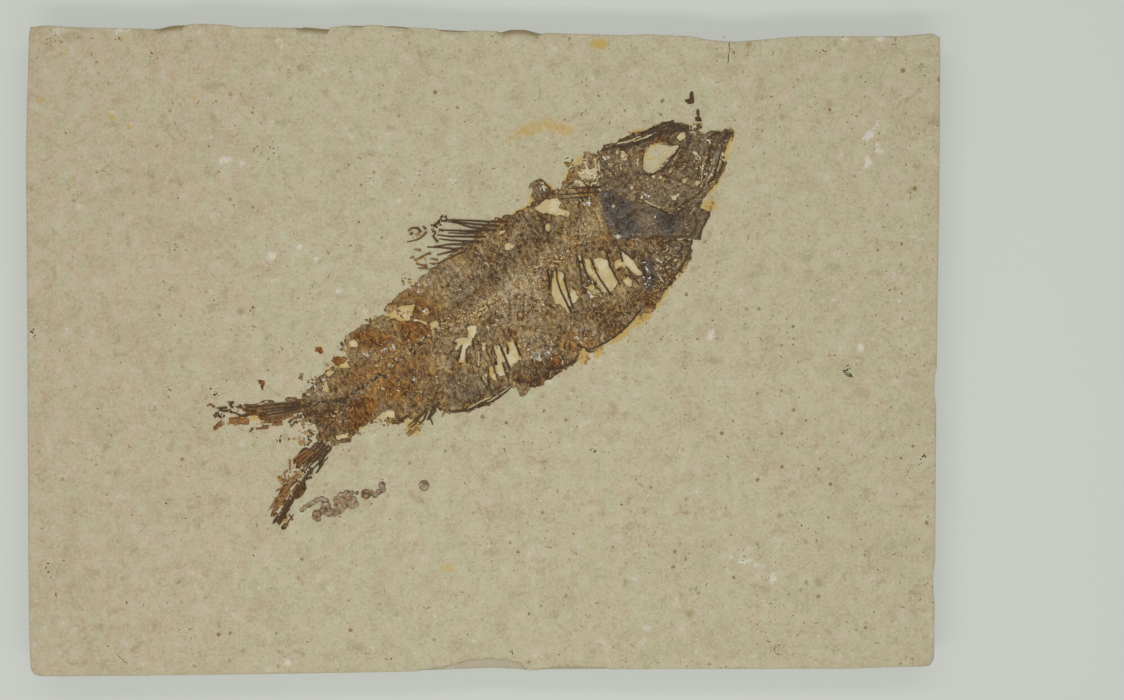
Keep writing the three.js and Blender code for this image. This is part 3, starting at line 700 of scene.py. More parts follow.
def bone_group():
    """Stained fossil bone: crumpled browns, fibres, cream flecks, painted glints and a painted sheen, dark
    rims painted as shadow along its edges, and painted zones
    """
    if "Fossil bone" in bpy.data.node_groups:
        return bpy.data.node_groups["Fossil bone"]
    bone, stone = bpy.context.scene.fossil_bone, bpy.context.scene.fossil_stone
    inputs = [(name, "Float", 0.0) for name in (*BONE_MASKS, "Turn")]
    inputs += [(name.title(), "Color", (*getattr(bone, name), 1)) for name in ("body", "tan", "deep")]
    outputs = [COLOUR_OUTPUT, HEIGHT_OUTPUT, ROUGHNESS_OUTPUT]
    wire, given, leave = node_tree("ShaderNodeTree", "Fossil bone", inputs, outputs)
    straight = wire.millimetres()
    place = wire.swirled(straight, 3.0, 1.4)
    mottle = wire.noise(place, 0.95, 5.0, 0.68)
    patchy = wire.noise(place, 5.0, 3.0)
    crumb = wire.noise(place, 0.44, 3.0, 0.7)
    speck = wire.noise(straight, 0.42, 2.0, 0.6)
    streak = wire.fibres(place, given["Turn"], 0.0)
    cross = wire.fibres(place, given["Turn"], 0.9)

    hue = wire.noise(place, 2.4, 4.0, 0.6)
    # The sheen mask lightens the tone a little, as painted sheen
    tone = wire.total(
        (mottle, 0.46), (streak, 0.3), (crumb, 0.24), (given["Deepen"], -0.07), (given["Ash"], 0.03),
    )
    tone = wire.shaken(tone, patchy, 0.26)
    colour = wire.mix(wire.step(tone, 0.43, 0.5), given["Deep"], given["Body"])
    colour = wire.mix(wire.step(tone, 0.515, 0.59), colour, given["Tan"])
    colour = wire.mix(wire.step(tone, 0.425, 0.35), colour, bone.ink)
    colour = wire.mix(wire.step(wire.ridge(streak), 0.035, 0.0), colour, bone.ink, 0.55)
    bright = wire.times(wire.step(wire.ridge(cross), 0.04, 0.0), wire.step(hue, 0.45, 0.6))
    colour = wire.mix(bright, colour, bone.fleck, 0.45)
    sprinkle = wire.math("ADD", crumb, wire.times(given["Fleck"], 0.12))
    colour = wire.mix(wire.step(sprinkle, 0.62, 0.68), colour, bone.fleck, 0.85)
    # Painted sheen: a grey-white wash where the sheen mask is painted
    painted_sheen = wire.times(given["Ash"], wire.step(mottle, 0.4, 0.62))
    colour = wire.mix(painted_sheen, colour, bone.glint, 0.22)
    # Painted glints: white specks that are partly white scale and partly painted highlights
    glint = wire.math("ADD", speck, wire.times(painted_sheen, 0.1))
    colour = wire.mix(wire.step(glint, 0.67, 0.76), colour, bone.glint, 0.65)
    for noise, low, high, ratio in (
        (patchy, 0.48, 0.7, (0.97, 0.98, 1.04)),
        (patchy, 0.48, 0.3, (1.04, 0.97, 0.84)),
        (hue, 0.52, 0.62, (0.86, 0.83, 0.93)),
        (hue, 0.48, 0.38, (1.1, 0.96, 0.78)),
        (wire.shaken(given["Rust"], mottle, 1.0), 0.15, 0.75, bone.rust_filter),
        (wire.shaken(given["Slate"], mottle, 1.0), 0.15, 0.85, bone.slate_filter),
    ):
        colour = wire.tinted(wire.step(noise, low, high), colour, ratio)
    inked = wire.step(wire.shaken(given["Dark"], crumb, 1.0), 0.3, 0.7)
    colour = wire.mix(inked, colour, bone.ink, 0.8)
    fresh = wire.mix(wire.step(hue, 0.42, 0.6), stone.cream_shade, stone.cream_tint)
    lost = wire.step(wire.shaken(wire.shaken(given["Pale"], mottle, 0.9), crumb, 1.3), 0.4, 0.62)
    colour = wire.mix(lost, colour, fresh, 0.9)
    # Dark rims along the film's edges: painted shadow
    rim = wire.step(wire.shaken(given["Depth"], crumb, 0.6), 0.3, 0.0)
    colour = wire.mix(rim, colour, bone.ink, 0.35)
    wire.link(colour, leave.inputs["Color"])
    wire.link(wire.total((mottle, 0.5), (crumb, 0.3), (streak, 0.4)), leave.inputs["Height"])
    wire.link(wire.step(mottle, 1.1, 0.1), leave.inputs["Roughness"])
    return wire.tree


def new_material(name, finish):
    """An empty material as (material, wiring, its Principled shader)"""
    material = bpy.data.materials.new(name)
    material.use_nodes = True
    wire = Wiring(material.node_tree)
    shader = material.node_tree.nodes["Principled BSDF"]
    shader.inputs["Roughness"].default_value = finish
    shader.inputs["Specular IOR Level"].default_value = 0.25
    return material, wire, shader


def painted(wire, name):
    """The four channels of a painted attribute"""
    attribute = wire.add("ShaderNodeAttribute", attribute_name=name)
    parts = wire.add("ShaderNodeSeparateColor", {"Color": attribute.outputs["Color"]})
    return [*parts.outputs, attribute.outputs["Alpha"]]


def relief(wire, shader, height, distance, strength=1.0):
    """Joins a height to the shader as fine bumps"""
    bump = wire.add("ShaderNodeBump", {"Height": height, "Distance": distance * MM, "Strength": strength})
    wire.link(bump.outputs["Normal"], shader.inputs["Normal"])


def stone_material(stone):
    """Split limestone above, and the layers of its edges at the sides"""
    material, wire, shader = new_material("split_limestone", 0.92)
    side, ledge, _, _ = painted(wire, "form")
    group = wire.add("ShaderNodeGroup", node_tree=limestone_group(stone))
    for name, mask in zip(STONE_MASKS, painted(wire, "marks")):
        wire.link(mask, group.inputs[name])
    layers = wire.noise(wire.vector("MULTIPLY", wire.millimetres(), (0.14, 0.14, 1.7)), 1.0, 4.0, 0.7)
    banded = wire.mix(wire.step(layers, 0.42, 0.6), stone.layer_dark, stone.layer_light)
    colour = wire.mix(side, group.outputs["Color"], banded, 0.6)
    wire.link(wire.mix(ledge, colour, stone.ledge_tint, 0.8), shader.inputs["Base Color"])
    height = wire.math("ADD", group.outputs["Height"], wire.times(wire.times(layers, side), 2.0))
    relief(wire, shader, height, 0.12)
    return material


def bone_material(name, turn):
    """Stained bone in the browns of one part of the fish, with its fibres turned by some degrees"""
    material, wire, shader = new_material(name, 0.6)
    group = wire.add("ShaderNodeGroup", node_tree=bone_group())
    for mask, socket in zip(BONE_MASKS, painted(wire, "stain") + painted(wire, "wear")):
        wire.link(socket, group.inputs[mask])
    for tone, brown in zip(("Body", "Tan", "Deep"), FILM_BROWNS.get(name, ())):
        group.inputs[tone].default_value = (*srgb(*brown), 1)
    group.inputs["Turn"].default_value = math.radians(turn)
    wire.link(group.outputs["Color"], shader.inputs["Base Color"])
    wire.link(group.outputs["Roughness"], shader.inputs["Roughness"])
    relief(wire, shader, group.outputs["Height"], 0.1)
    return material


def rod_material(name, finish=0.6):
    """Plain stained bone for thin rods and specks, shaded along its own tone attribute"""
    material, wire, shader = new_material(name, finish)
    low, high = (srgb(*brown) for brown in ROD_BROWNS[name])
    tone = wire.add("ShaderNodeAttribute", attribute_name="tone").outputs["Fac"]
    mottle = wire.noise(wire.millimetres(), 0.6, 4.0, 0.65)
    colour = wire.mix(wire.step(wire.shaken(tone, mottle, 0.8), 0.2, 0.8), low, high)
    wire.link(colour, shader.inputs["Base Color"])
    relief(wire, shader, mottle, 0.08)
    return material


def film_sheet(loops, step, ragged, seed, grow=0.0, windows=(), tear=1.0, comb=None):
    """A ragged sheet inside the outlines, frayed along a comb angle, as places, triangles and depth"""
    every = np.vstack(loops)
    low, high = every.min(axis=0) - 1.2, every.max(axis=0) + 1.2
    xs = np.arange(low[0], high[0], step)
    ys = np.arange(low[1], high[1], step)

    def field(points):
        grained = points if comb is None else combed(points, comb)
        rough = fractal(grained, 2.2, 4, seed) + 0.7 * fractal(grained, 0.7, 3, seed + 9)
        inside = edge_distance(points, loops) + grow + ragged * rough
        for window in windows:
            inside = np.minimum(inside, tear * rough - edge_distance(points, [on_face(window)]) - 0.1)
        return inside

    values = field(grid_points(xs, ys)).reshape(len(ys), len(xs))
    values[[0, -1], :] = -1
    values[:, [0, -1]] = -1
    places, triangles = contour_sheet(xs, ys, values.ravel())
    return places, triangles, np.maximum(field(places), 0)


def film_piece(name, sheet, thickness, rise, masks, material, node):
    """A closed film on the slab's face from a sheet, its relief and its painted masks"""
    places, triangles, depth = sheet
    crumple = 0.1 * fractal(places, 1.1, 4, 7) + 0.05 * fractal(places, 0.45, 2, 17)
    taper = 0.35 + 0.65 * smooth(depth / 0.5)
    heights = FACE + (thickness + crumple) * taper + rise
    vertices, faces, rim = closed_film(places, triangles, heights, FACE - FILM_FOOT)
    mesh = plain_mesh(name, vertices, faces)
    masks = {"Depth": depth, **masks}
    channels = [np.broadcast_to(masks.get(mask, 0.0), (len(places),)) for mask in BONE_MASKS]
    channels = [np.concatenate([channel, channel[rim]]) for channel in channels]
    store(mesh, "stain", *channels[:4])
    store(mesh, "wear", *channels[4:])
    add_piece(name, mesh, material, [node])


def nodes_piece(name, tree, source, inputs, nodes=()):
    """Runs a Geometry Nodes tree on a source mesh and keeps the result as a plain piece"""
    holder = placed(name + "_source", source)
    modifier = holder.modifiers.new("shape", "NODES")
    modifier.node_group = tree
    for item in tree.interface.items_tree:
        if item.in_out == "INPUT" and item.name in inputs:
            modifier[item.identifier] = inputs[item.name]
    evaluated = holder.evaluated_get(bpy.context.evaluated_depsgraph_get())
    mesh = bpy.data.meshes.new_from_object(evaluated)
    mesh.name = name
    holder.modifiers.remove(modifier)
    bpy.data.objects.remove(holder)
    add_piece(name, mesh, None, nodes)


def geometry_tree(name, sizes):
    """A Geometry Nodes tree with a Geometry input and output, and with named sizes"""
    shape = ("Geometry", "Geometry", None)
    return node_tree("GeometryNodeTree", name, [shape, *sizes], [shape])


def finish_tree(wire, geometry, material, leave):
    """Ends a tree with realized, smooth and painted geometry"""
    real = wire.first("GeometryNodeRealizeInstances", {"Geometry": geometry})
    soft = wire.first("GeometryNodeSetShadeSmooth", {"Geometry": real})
    done = wire.first("GeometryNodeSetMaterial", {"Geometry": soft, "Material": material})
    wire.link(done, leave.inputs[0])
    return wire.tree


def named(wire, name):
    """A number stored on the source's points"""
    return wire.first("GeometryNodeInputNamedAttribute", {"Name": name}, data_type="FLOAT")


def rod_tree():
    """Rods along drawn paths, as thick as the girth stored on each point and a little crooked"""
    if "Bone rods" in bpy.data.node_groups:
        return bpy.data.node_groups["Bone rods"]
    wire, given, leave = geometry_tree("Bone rods", [
        ("Spacing", "Float", 0.3 * MM), ("Crook", "Float", 0.12 * MM),
        ("Sides", "Int", 7), ("Material", "Material", None),
    ])
    curve = wire.first("GeometryNodeMeshToCurve", {"Mesh": given["Geometry"]})
    thick = {"Curve": curve, "Radius": named(wire, "girth")}
    curve = wire.first("GeometryNodeSetCurveRadius", thick)
    spaced = {"Curve": curve, "Length": given["Spacing"]}
    curve = wire.first("GeometryNodeResampleCurve", spaced, mode="LENGTH")
    where = wire.first("GeometryNodeInputPosition")
    crook = wire.vector("MULTIPLY", wire.push(where, 900.0, 2.0, given["Crook"]), (2.0, 2.0, 0.5))
    curve = wire.first("GeometryNodeSetPosition", {"Geometry": curve, "Offset": crook})
    round_inputs = {"Resolution": given["Sides"], "Radius": 1.0}
    ring = wire.first("GeometryNodeCurvePrimitiveCircle", round_inputs)
    girth = wire.first("GeometryNodeInputRadius")
    swept = {"Curve": curve, "Profile Curve": ring, "Scale": girth, "Fill Caps": True}
    rods = wire.first("GeometryNodeCurveToMesh", swept)
    return finish_tree(wire, rods, given["Material"], leave)


def bead_tree():
    """Lumpy beads on stored points, wide by their girth and pressed flat"""
    if "Bone beads" in bpy.data.node_groups:
        return bpy.data.node_groups["Bone beads"]
    wire, given, leave = geometry_tree("Bone beads", [
        ("Flatness", "Float", 0.6), ("Lumps", "Float", 0.3), ("Stretch", "Float", 1.3),
        ("Detail", "Int", 2), ("Seed", "Int", 3), ("Material", "Material", None),
    ])

    def random(low, high):
        """A value of its own for each point"""
        inputs = {2: low, 3: high, "Seed": given["Seed"]}
        return wire.add("FunctionNodeRandomValue", inputs, data_type="FLOAT").outputs[1]

    ball = wire.first("GeometryNodeMeshIcoSphere", {"Radius": 1.0, "Subdivisions": given["Detail"]})
    girth = named(wire, "girth")
    width, tall = wire.times(girth, random(0.75, given["Stretch"])), wire.times(girth, given["Flatness"])
    scale = wire.first("ShaderNodeCombineXYZ", {0: width, 1: girth, 2: tall})
    spin = wire.first("ShaderNodeCombineXYZ", {2: random(0.0, math.tau)})
    laid = {"Points": given["Geometry"], "Instance": ball, "Rotation": spin, "Scale": scale}
    beads = wire.first("GeometryNodeInstanceOnPoints", laid)
    real = wire.first("GeometryNodeRealizeInstances", {"Geometry": beads})
    where = wire.first("GeometryNodeInputPosition")
    push = wire.push(where, 2500.0, 1.0, wire.times(girth, given["Lumps"]))
    lumpy = wire.first("GeometryNodeSetPosition", {"Geometry": real, "Offset": push})
    return finish_tree(wire, lumpy, given["Material"], leave)


def path_source(paths, height, lift=0.0, *, tip, root):
    """Drawn paths for the rod tree, with a tone each, and with girths and a lift from tip to root"""
    places, edges, girths, shades = [], [], [], []
    for tone, *path in paths:
        points = on_face(path)
        first = len(places)
        for index, point in enumerate(points):
            share = index / (len(points) - 1)
            places.append((*(point * MM), (height + lift * share) * MM))
            girths.append((tip + (root - tip) * share) * MM)
            shades.append(tone)
            if index:
                edges.append((first + index - 1, first + index))
    return source_mesh(places, edges, girths, shades)


def source_mesh(places, edges, girths, shades):
    """Points and edges with the girth and tone that the trees read"""
    mesh = bpy.data.meshes.new("source")
    mesh.from_pydata(places, edges, [])
    mesh.attributes.new("girth", "FLOAT", "POINT").data.foreach_set("value", np.array(girths, np.float32))
    mesh.attributes.new("tone", "FLOAT", "POINT").data.foreach_set("value", np.array(shades, np.float32))
    return mesh


def strewn(rows, draw, level, small, large):
    """Points strewn around centres for the bead tree, from rows of centre, spread, number and tone"""
    places, girths, tones = [], [], []
    for x, y, wide, tall, number, tone in rows:
        spread = np.clip(draw.randn(number, 2), -1.6, 1.6) * (wide, tall) * 0.6
        for point in on_face(spread + (x, y)):
            places.append((*(point * MM), level * MM))
            girths.append((small + (large - small) * draw.rand() ** 2) * MM)
            tones.append(tone + 0.2 * draw.randn())
    return source_mesh(places, [], girths, tones)


def bead_piece(name, finish, source, shape):
    """Strewn beads of one material that replace no CAD node"""
    nodes_piece(name + "s", bead_tree(), source, {"Material": rod_material(name, finish), **shape})


def colour_property(name, description, default):
    return FloatVectorProperty(
        name=name, description=description, default=default, size=3, min=0.0, max=1.0, subtype="COLOR",
    )


def amount_property(name, description, default, **kind):
    return FloatProperty(name=name, description=description, default=default, min=0.0, **kind)


def length_property(name, description, default):
    return amount_property(name, description, default, subtype="DISTANCE", unit="LENGTH")


def count_property(name, description, default):
    return IntProperty(name=name, description=description, default=default, min=0)


class FossilStoneSettings(bpy.types.PropertyGroup):
    """Colours and sizes of the limestone"""

    warm_tint: colour_property("Warm tint", "Pinkish buff of the stone's face", srgb(189, 177, 148))
    cool_tint: colour_property("Cool tint", "Greenish buff of the stone's face", srgb(187, 179, 148))
    light_tint: colour_property("Light tint", "Paler clouds in the stone", srgb(199, 191, 163))
    dark_tint: colour_property("Dark tint", "Darker grain in the stone", srgb(166, 152, 117))
    speck_tint: colour_property("Speck tint", "Small ochre-brown dots in the stone", srgb(132, 108, 58))
    cream_tint: colour_property("Cream tint", "Bare stone where the film is lost", srgb(208, 194, 156))
    cream_shade: colour_property("Cream shade", "Stained patches of that bare stone", srgb(194, 172, 122))
    ochre_tint: colour_property("Ochre tint", "Iron stain around the fish", srgb(188, 157, 86))
    bleach_tint: colour_property("Bleached tint", "White mineral splashes", srgb(212, 208, 194))
    scar_tint: colour_property("Scar tint", "Grey floor of the chipped edge", srgb(176, 168, 143))
    layer_dark: colour_property("Dark layer", "Darker layers along the slab's sides", srgb(166, 154, 126))
    layer_light: colour_property("Light layer", "Paler layers along the slab's sides", srgb(188, 178, 148))
    ledge_tint: colour_property("Ledge tint", "Weathered brown of the split ledges", srgb(142, 122, 84))
    fine_step: length_property("Fine grid", "Grid spacing of the face under the fish", 0.46 * MM)
    coarse_step: length_property("Coarse grid", "Grid spacing of the face away from the fish", 1.0 * MM)


class FossilBoneSettings(bpy.types.PropertyGroup):
    """Colours and sizes of the fossil fish"""

    body: colour_property("Body", "Middle brown of the body film", srgb(132, 106, 64))
    tan: colour_property("Tan", "Light brown of the body film", srgb(176, 150, 99))
    deep: colour_property("Deep", "Dark brown of the body film", srgb(82, 60, 34))
    # Ink also paints the shadow along the films' rims
    ink: colour_property("Ink", "Near-black brown of lines and rims", srgb(62, 45, 26))
    rust_filter: colour_property("Rust filter", "Turns the browns to orange iron stain", (0.9, 0.61, 0.26))
    slate_filter: colour_property("Slate filter", "Turns the browns to blue-grey", (0.67, 0.75, 0.97))
    fleck: colour_property("Fleck", "Cream crumbs of broken scale", srgb(192, 173, 131))
    # The glint colour paints highlights: white specks of scale, and the painted sheen's wash
    glint: colour_property("Glint", "White-grey crumbs of scale", srgb(188, 184, 174))
    trunk_step: length_property("Trunk grid", "Grid spacing of the body film", 0.17 * MM)
    head_step: length_property("Head grid", "Grid spacing of the head bones", 0.11 * MM)
    fine_step: length_property("Fine grid", "Grid spacing of small pieces", 0.09 * MM)
    film_thickness: length_property("Film", "Thickness of the body film", 0.28 * MM)
    fibre_count: count_property("Fibres", "Fine fibres of broken scale on the body", 1000)
    fibre_seed: count_property("Fibre seed", "Changes how the fibres fall", 21)
    speck_count: count_property("Specks", "Loose mineral specks on the face", 260)
    dash_count: count_property("Dashes", "Short mineral dashes on the face", 160)


class FossilStageSettings(bpy.types.PropertyGroup):
    """Floor, lights and camera"""

    camera_height: length_property("Camera height", "Height of the lens above the floor", 0.292)
    view_width: length_property("View width", "Stone across the picture", PHOTO_WIDTH / PIXELS_PER_MM * MM)
    floor_tint: colour_property("Floor", "Pale floor under the slab", srgb(158, 161, 155))
    floor_glow: amount_property("Floor glow", "Light that the floor gives off", 0.8)
    sky_strength: amount_property("Sky", "Strength of the even light", 0.45)
    near_power: amount_property("Near lamp", "Power of the lamp on the belly's side", 0.34, subtype="POWER")
    far_power: amount_property("Far lamp", "Power of the lamp on the back's side", 0.23, subtype="POWER")


# The grid's lines along all four edges, and its extra rows beside the chipped front edge
EDGE_RIM = 0.6
CHIP_ROWS = np.arange(0.9, 4.0, 0.3)


def graded(low, high, fine_low, fine_high, fine, coarse):
    """Grid lines from low to high, close together in the fine stretch and beside both ends"""
    def run(start, end, step):
        return np.linspace(start, end, max(2, int(round((end - start) / step)) + 1))
    parts = [
        [low, low + EDGE_RIM * 0.4], run(low + EDGE_RIM, fine_low, coarse), run(fine_low, fine_high, fine),
        run(fine_high, high - EDGE_RIM, coarse), [high - EDGE_RIM * 0.4, high],
    ]
    return np.unique(np.round(np.concatenate(parts), 6))


class SlabSides:
    """The four corners of the slab's outline, and the edges between them"""

    def __init__(self, loop):
        start = np.argmin(loop.sum(axis=1))
        loop = np.roll(loop, -start, axis=0)
        if np.argmax(loop[:, 1] - loop[:, 0]) < np.argmax(loop[:, 0] - loop[:, 1]):
            loop = np.roll(loop[::-1], 1, axis=0)
        x, y = loop.T
        right, far, left = np.argmax(x - y), np.argmax(x + y), np.argmax(y - x)
        self.corners = loop[[0, right, far, left]]
        closed = np.vstack([loop, loop[:1]])
        self.bottom, self.right = closed[:right + 1], closed[right:far + 1]
        self.top, self.left = closed[far:left + 1], closed[left:]

    @staticmethod
    def along(side, axis, share):
        """Points on a side at shares of its way along one axis"""
        side = side[np.argsort(side[:, axis])]
        wanted = side[0, axis] + share * (side[-1, axis] - side[0, axis])
        other = np.interp(wanted, side[:, axis], side[:, 1 - axis])
        return np.stack([wanted, other] if axis == 0 else [other, wanted], axis=1)


# The stretches of the face that the fish covers
FISH_COLUMNS = (-56, 52)
FISH_ROWS = (-37, 53)
# Chips of the edges as start, end, side of the slab, reach, drop and lean
CHIPS = [
    (-66.2, -59.2, 1, 1.0, 1.3, 0.0), (-37.4, -30.6, 1, 1.3, 1.3, 0.0), (-26.8, -23.4, 1, 0.5, 0.9, 0.0),
    (-20.4, -13.8, 1, 0.5, 0.9, 0.0), (-9.2, -2.4, 1, 0.6, 0.9, 0.0), (2.8, 12.0, 1, 1.1, 1.3, 0.0),
    (-13.0, 8.4, -1, 2.0, 0.9, 0.75), (11.0, 26.0, -1, 0.7, 0.6, -0.4),
]


class FOSSIL_OT_slab(bpy.types.Operator):
    """Make the limestone slab with its chipped edges, layers and stains"""

    bl_idname = "fossil.slab"
    bl_label = "Slab"

    def execute(self, context):
        stone = context.scene.fossil_stone
        face = self.face_points(SlabSides(cad_loops("slab", 0.0)[0]), *self.grid_shares(stone))
        rows, columns = face.shape[:2]
        flat = face.reshape(-1, 2)
        top_gap = np.abs(face[-1][None, :, 1] - face[:, :, 1]).ravel()
        bottom_gap = np.abs(face[:, :, 1] - face[0][None, :, 1]).ravel()
        side_gap = np.minimum(face[:, :, 0] - face[:, :1, 0], face[:, -1:, 0] - face[:, :, 0]).ravel()
        gap = np.min([top_gap, bottom_gap, side_gap], axis=0)
        drop, brown, grey = self.chip_masks(flat, top_gap, bottom_gap)
        worn = 0.22 * np.clip(1 - gap / (0.5 + 0.3 * fractal(flat, 3.0, 2, 5)), 0, 1) ** 2
        heights = FACE + 0.05 * fractal(flat, 7.0, 4, 11) + 0.02 * fractal(flat, 1.2, 2, 12) - drop - worn
        vertices = [np.column_stack([flat, heights])]
        index = np.arange(rows * columns).reshape(rows, columns)
        ring = np.concatenate([index[0, :-1], index[:-1, -1], index[-1, :0:-1], index[:0:-1, 0]])
        triangles = [grid_triangles(rows, columns)]
        self.add_sides(vertices, triangles, ring)
        places = np.vstack(vertices)
        mesh = plain_mesh("slab_stone", places, np.vstack(triangles))
        side = np.ones(len(places))
        side[:len(flat)] = smooth(1 - gap / 0.25) * 0.6
        shaken = warped(flat, 1.0, 2.0, 65)
        white = np.maximum(painted_spots(shaken, WHITE_SPOTS), painted_lines(shaken, WHITE_STREAKS))
        grey = np.maximum(grey, painted_zones(flat, WORN_CORNERS))
        store(mesh, "marks", *self.stains(flat), grey, 0.6 * white)
        store(mesh, "form", side, brown)
        add_piece("slab_stone", mesh, stone_material(stone), ["slab"])
        return {"FINISHED"}

    @staticmethod
    def grid_shares(stone):
        """The grid lines of the face as shares of its two lengths, close together under the fish"""
        low, high = (np.array(corner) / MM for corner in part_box("slab"))
        fine, coarse = stone.fine_step / MM, stone.coarse_step / MM
        xs = graded(low[0], high[0], *FISH_COLUMNS, fine, coarse)
        ys = graded(low[1], high[1], *FISH_ROWS, fine, coarse)
        ys = np.unique(np.concatenate([ys, low[1] + CHIP_ROWS]))
        return (xs - low[0]) / (high[0] - low[0]), (ys - low[1]) / (high[1] - low[1])

    @staticmethod
    def chip_masks(points, top_gap, bottom_gap):
        """How deep the chips drop the face, and where they are brown and grey"""
        drop, brown, grey = np.zeros((3, len(points)))
        for start, end, edge, depth, fall, lean in CHIPS:
            upper = edge > 0
            gap = top_gap if upper else bottom_gap
            across = (2 * points[:, 0] - start - end) / (end - start)
            reach = depth * np.clip(1 - across ** 2, 0, 1) ** 0.5 * (1 + lean * across)
            reach *= 1 + 0.25 * fractal(points, 2.0, 3, 31)
            inside = smooth((reach - gap) / 0.25) * (reach > 0.05)
            slope = 0.55 + 0.45 * np.clip(1 - gap / np.maximum(reach, 0.05), 0, 1)
            drop = np.maximum(drop, fall * inside * slope)
            brown = np.maximum(brown, inside if upper else 2 * inside * (1 - inside))
            grey = grey if upper else np.maximum(grey, inside)
        return drop, brown, grey

    @staticmethod
    def face_points(sides, us, vs):
        """The face's grid, fitted between the four uneven edges"""
        u, v = us[None, :, None], vs[:, None, None]
        top = SlabSides.along(sides.top, 0, us)[None]
        bottom = SlabSides.along(sides.bottom, 0, us)[None]
        left = SlabSides.along(sides.left, 1, vs)[:, None]
        right = SlabSides.along(sides.right, 1, vs)[:, None]
        near_left, near_right, far_right, far_left = sides.corners
        bent = (1 - v) * bottom + v * top + (1 - u) * left + u * right
        near = (1 - u) * near_left + u * near_right
        far = (1 - u) * far_left + u * far_right
        return bent - (1 - v) * near - v * far

    @staticmethod
    def add_sides(vertices, triangles, ring):
        """Layered walls down from the face's ring and a flat underside"""
        top = vertices[0][ring]
        count = len(ring)
        onward = np.roll(np.arange(count), -1)
        ahead, behind = np.roll(top[:, :2], -1, 0), np.roll(top[:, :2], 1, 0)
        along = ahead - behind
        outward = np.stack([along[:, 1], -along[:, 0]], 1) / np.linalg.norm(along, axis=1)[:, None]
        way = np.cumsum(np.linalg.norm(top[:, :2] - behind, axis=1))
        shares = np.concatenate([[0.03, 0.08], np.linspace(0.16, 0.95, 10), [0.985, 1.0]])
        last = ring
        for number, share in enumerate(shares):
            spots = np.column_stack([way, np.full(count, 13.0 * number)])
            rough = 0.16 * fractal(spots, 5.0, 3, 41 + number % 3) + 0.12 * fractal(spots, 0.9, 2, 47)
            push = rough * min(1.0, 8 * share, 12 * (1 - share)) - 0.25 * max(0.0, share - 0.94) / 0.06
            level = top[:, 2] * (1 - share)
            start = sum(len(part) for part in vertices)
            vertices.append(np.column_stack([top[:, :2] + outward * push[:, None], level]))
            row = start + np.arange(count)
            triangles.append(np.stack([last, row, row[onward]], 1))
            triangles.append(np.stack([last, row[onward], last[onward]], 1))
            last = row
        centre = sum(len(part) for part in vertices)
        vertices.append(np.zeros((1, 3)))
        triangles.append(np.stack([last, np.full(count, centre), last[onward]], 1))

    @staticmethod
    def stains(points):
        """Painted masks of the face: bare cream stone and ochre iron stain"""
        bent = warped(points, 0.4, 2.0, 61)
        inside = np.max([edge_distance(bent, [on_face(hole)]) for hole in WINDOWS + SKULL_HOLES], axis=0)
        socket = edge_distance(bent, [on_face(EYE_SOCKET)])
        cream = np.maximum(smooth(0.9 + inside / 0.6), 0.3 * smooth(0.9 + socket / 0.6))
        rims = 0.8 * smooth(1.2 - np.abs(inside) / 0.5)
        rims = np.maximum(rims, 0.45 * smooth(1.3 - np.abs(socket) / 0.9))
        rims *= smooth(0.3 + 3.0 * fractal(points, 1.8, 3, 67))
        outside = np.min([-edge_distance(points, [outer_loop(node)]) for node in ("trunk", "skull")], axis=0)
        reach = (0.8 + 2.4 * fractal(points, 3.2, 3, 63)).clip(0.05)
        halo = painted_zones(bent, HALO_ZONES) * smooth(1 + outside / 0.8) * smooth(1.1 - outside / reach)
        patches = painted_zones(bent, OCHRE_PATCHES)
        lines = painted_lines(bent, SOCKET_LINES)
        dots = 0.62 * painted_spots(bent, OCHRE_DOTS)
        return cream, np.max([patches, lines, halo, rims, dots], axis=0)


WHITE_SPOTS = [
    (224, 160, 8), (243, 161, 5), (77, 203, 7), (283, 43, 6), (486, 41, 5), (604, 60, 4), (646, 55, 5),
    (272, 256, 8), (300, 246, 6), (339, 290, 7), (367, 310, 6), (315, 259, 4), (771, 580, 6), (844, 41, 7),
    (335, 663, 6), (287, 660, 6), (921, 286, 5), (56, 31, 6), (66, 31, 6), (104, 31, 6), (116, 32, 6),
    (126, 32, 5), (880, 40, 6), (928, 40, 6), (712, 335, 6), (728, 326, 5),
]
WHITE_STREAKS = [
    (1.4, 5, 731, 558, 736, 560), (1.5, 5.5, 740, 558, 743, 558), (1.2, 4.5, 744, 559, 750, 562, 757, 565),
    (1.3, 5, 761, 566.5, 767, 566), (1.5, 5, 876, 122, 873, 128), (1.5, 5, 870, 132, 866, 140),
    (1.5, 5, 876, 143, 880, 145, 878, 150, 881, 153), (1.2, 4.5, 864, 151, 865, 153),
    (1.5, 5, 868, 157, 866, 164, 864, 170), (1.2, 5, 861, 348, 861, 351),
]
WORN_CORNERS = [
    (0.8, 2, 912, 668, 926, 660, 934, 652, 937, 668), (0.6, 2, 868, 667, 874, 661, 886, 660, 884, 667),
]
HALO_ZONES = [
    (0.9, 8, 490, 225, 535, 190, 600, 145, 640, 122, 652, 128, 600, 160, 560, 210, 500, 235),
    (0.9, 8, 570, 345, 640, 298, 700, 240, 708, 262, 660, 325, 580, 375),
    (0.8, 8, 320, 385, 360, 320, 420, 270, 430, 300, 380, 350, 330, 395),
    (0.8, 8, 325, 445, 345, 425, 440, 400, 450, 425, 400, 445),
    (0.8, 6, 695, 190, 720, 130, 738, 130, 730, 165, 712, 215, 695, 215),
]
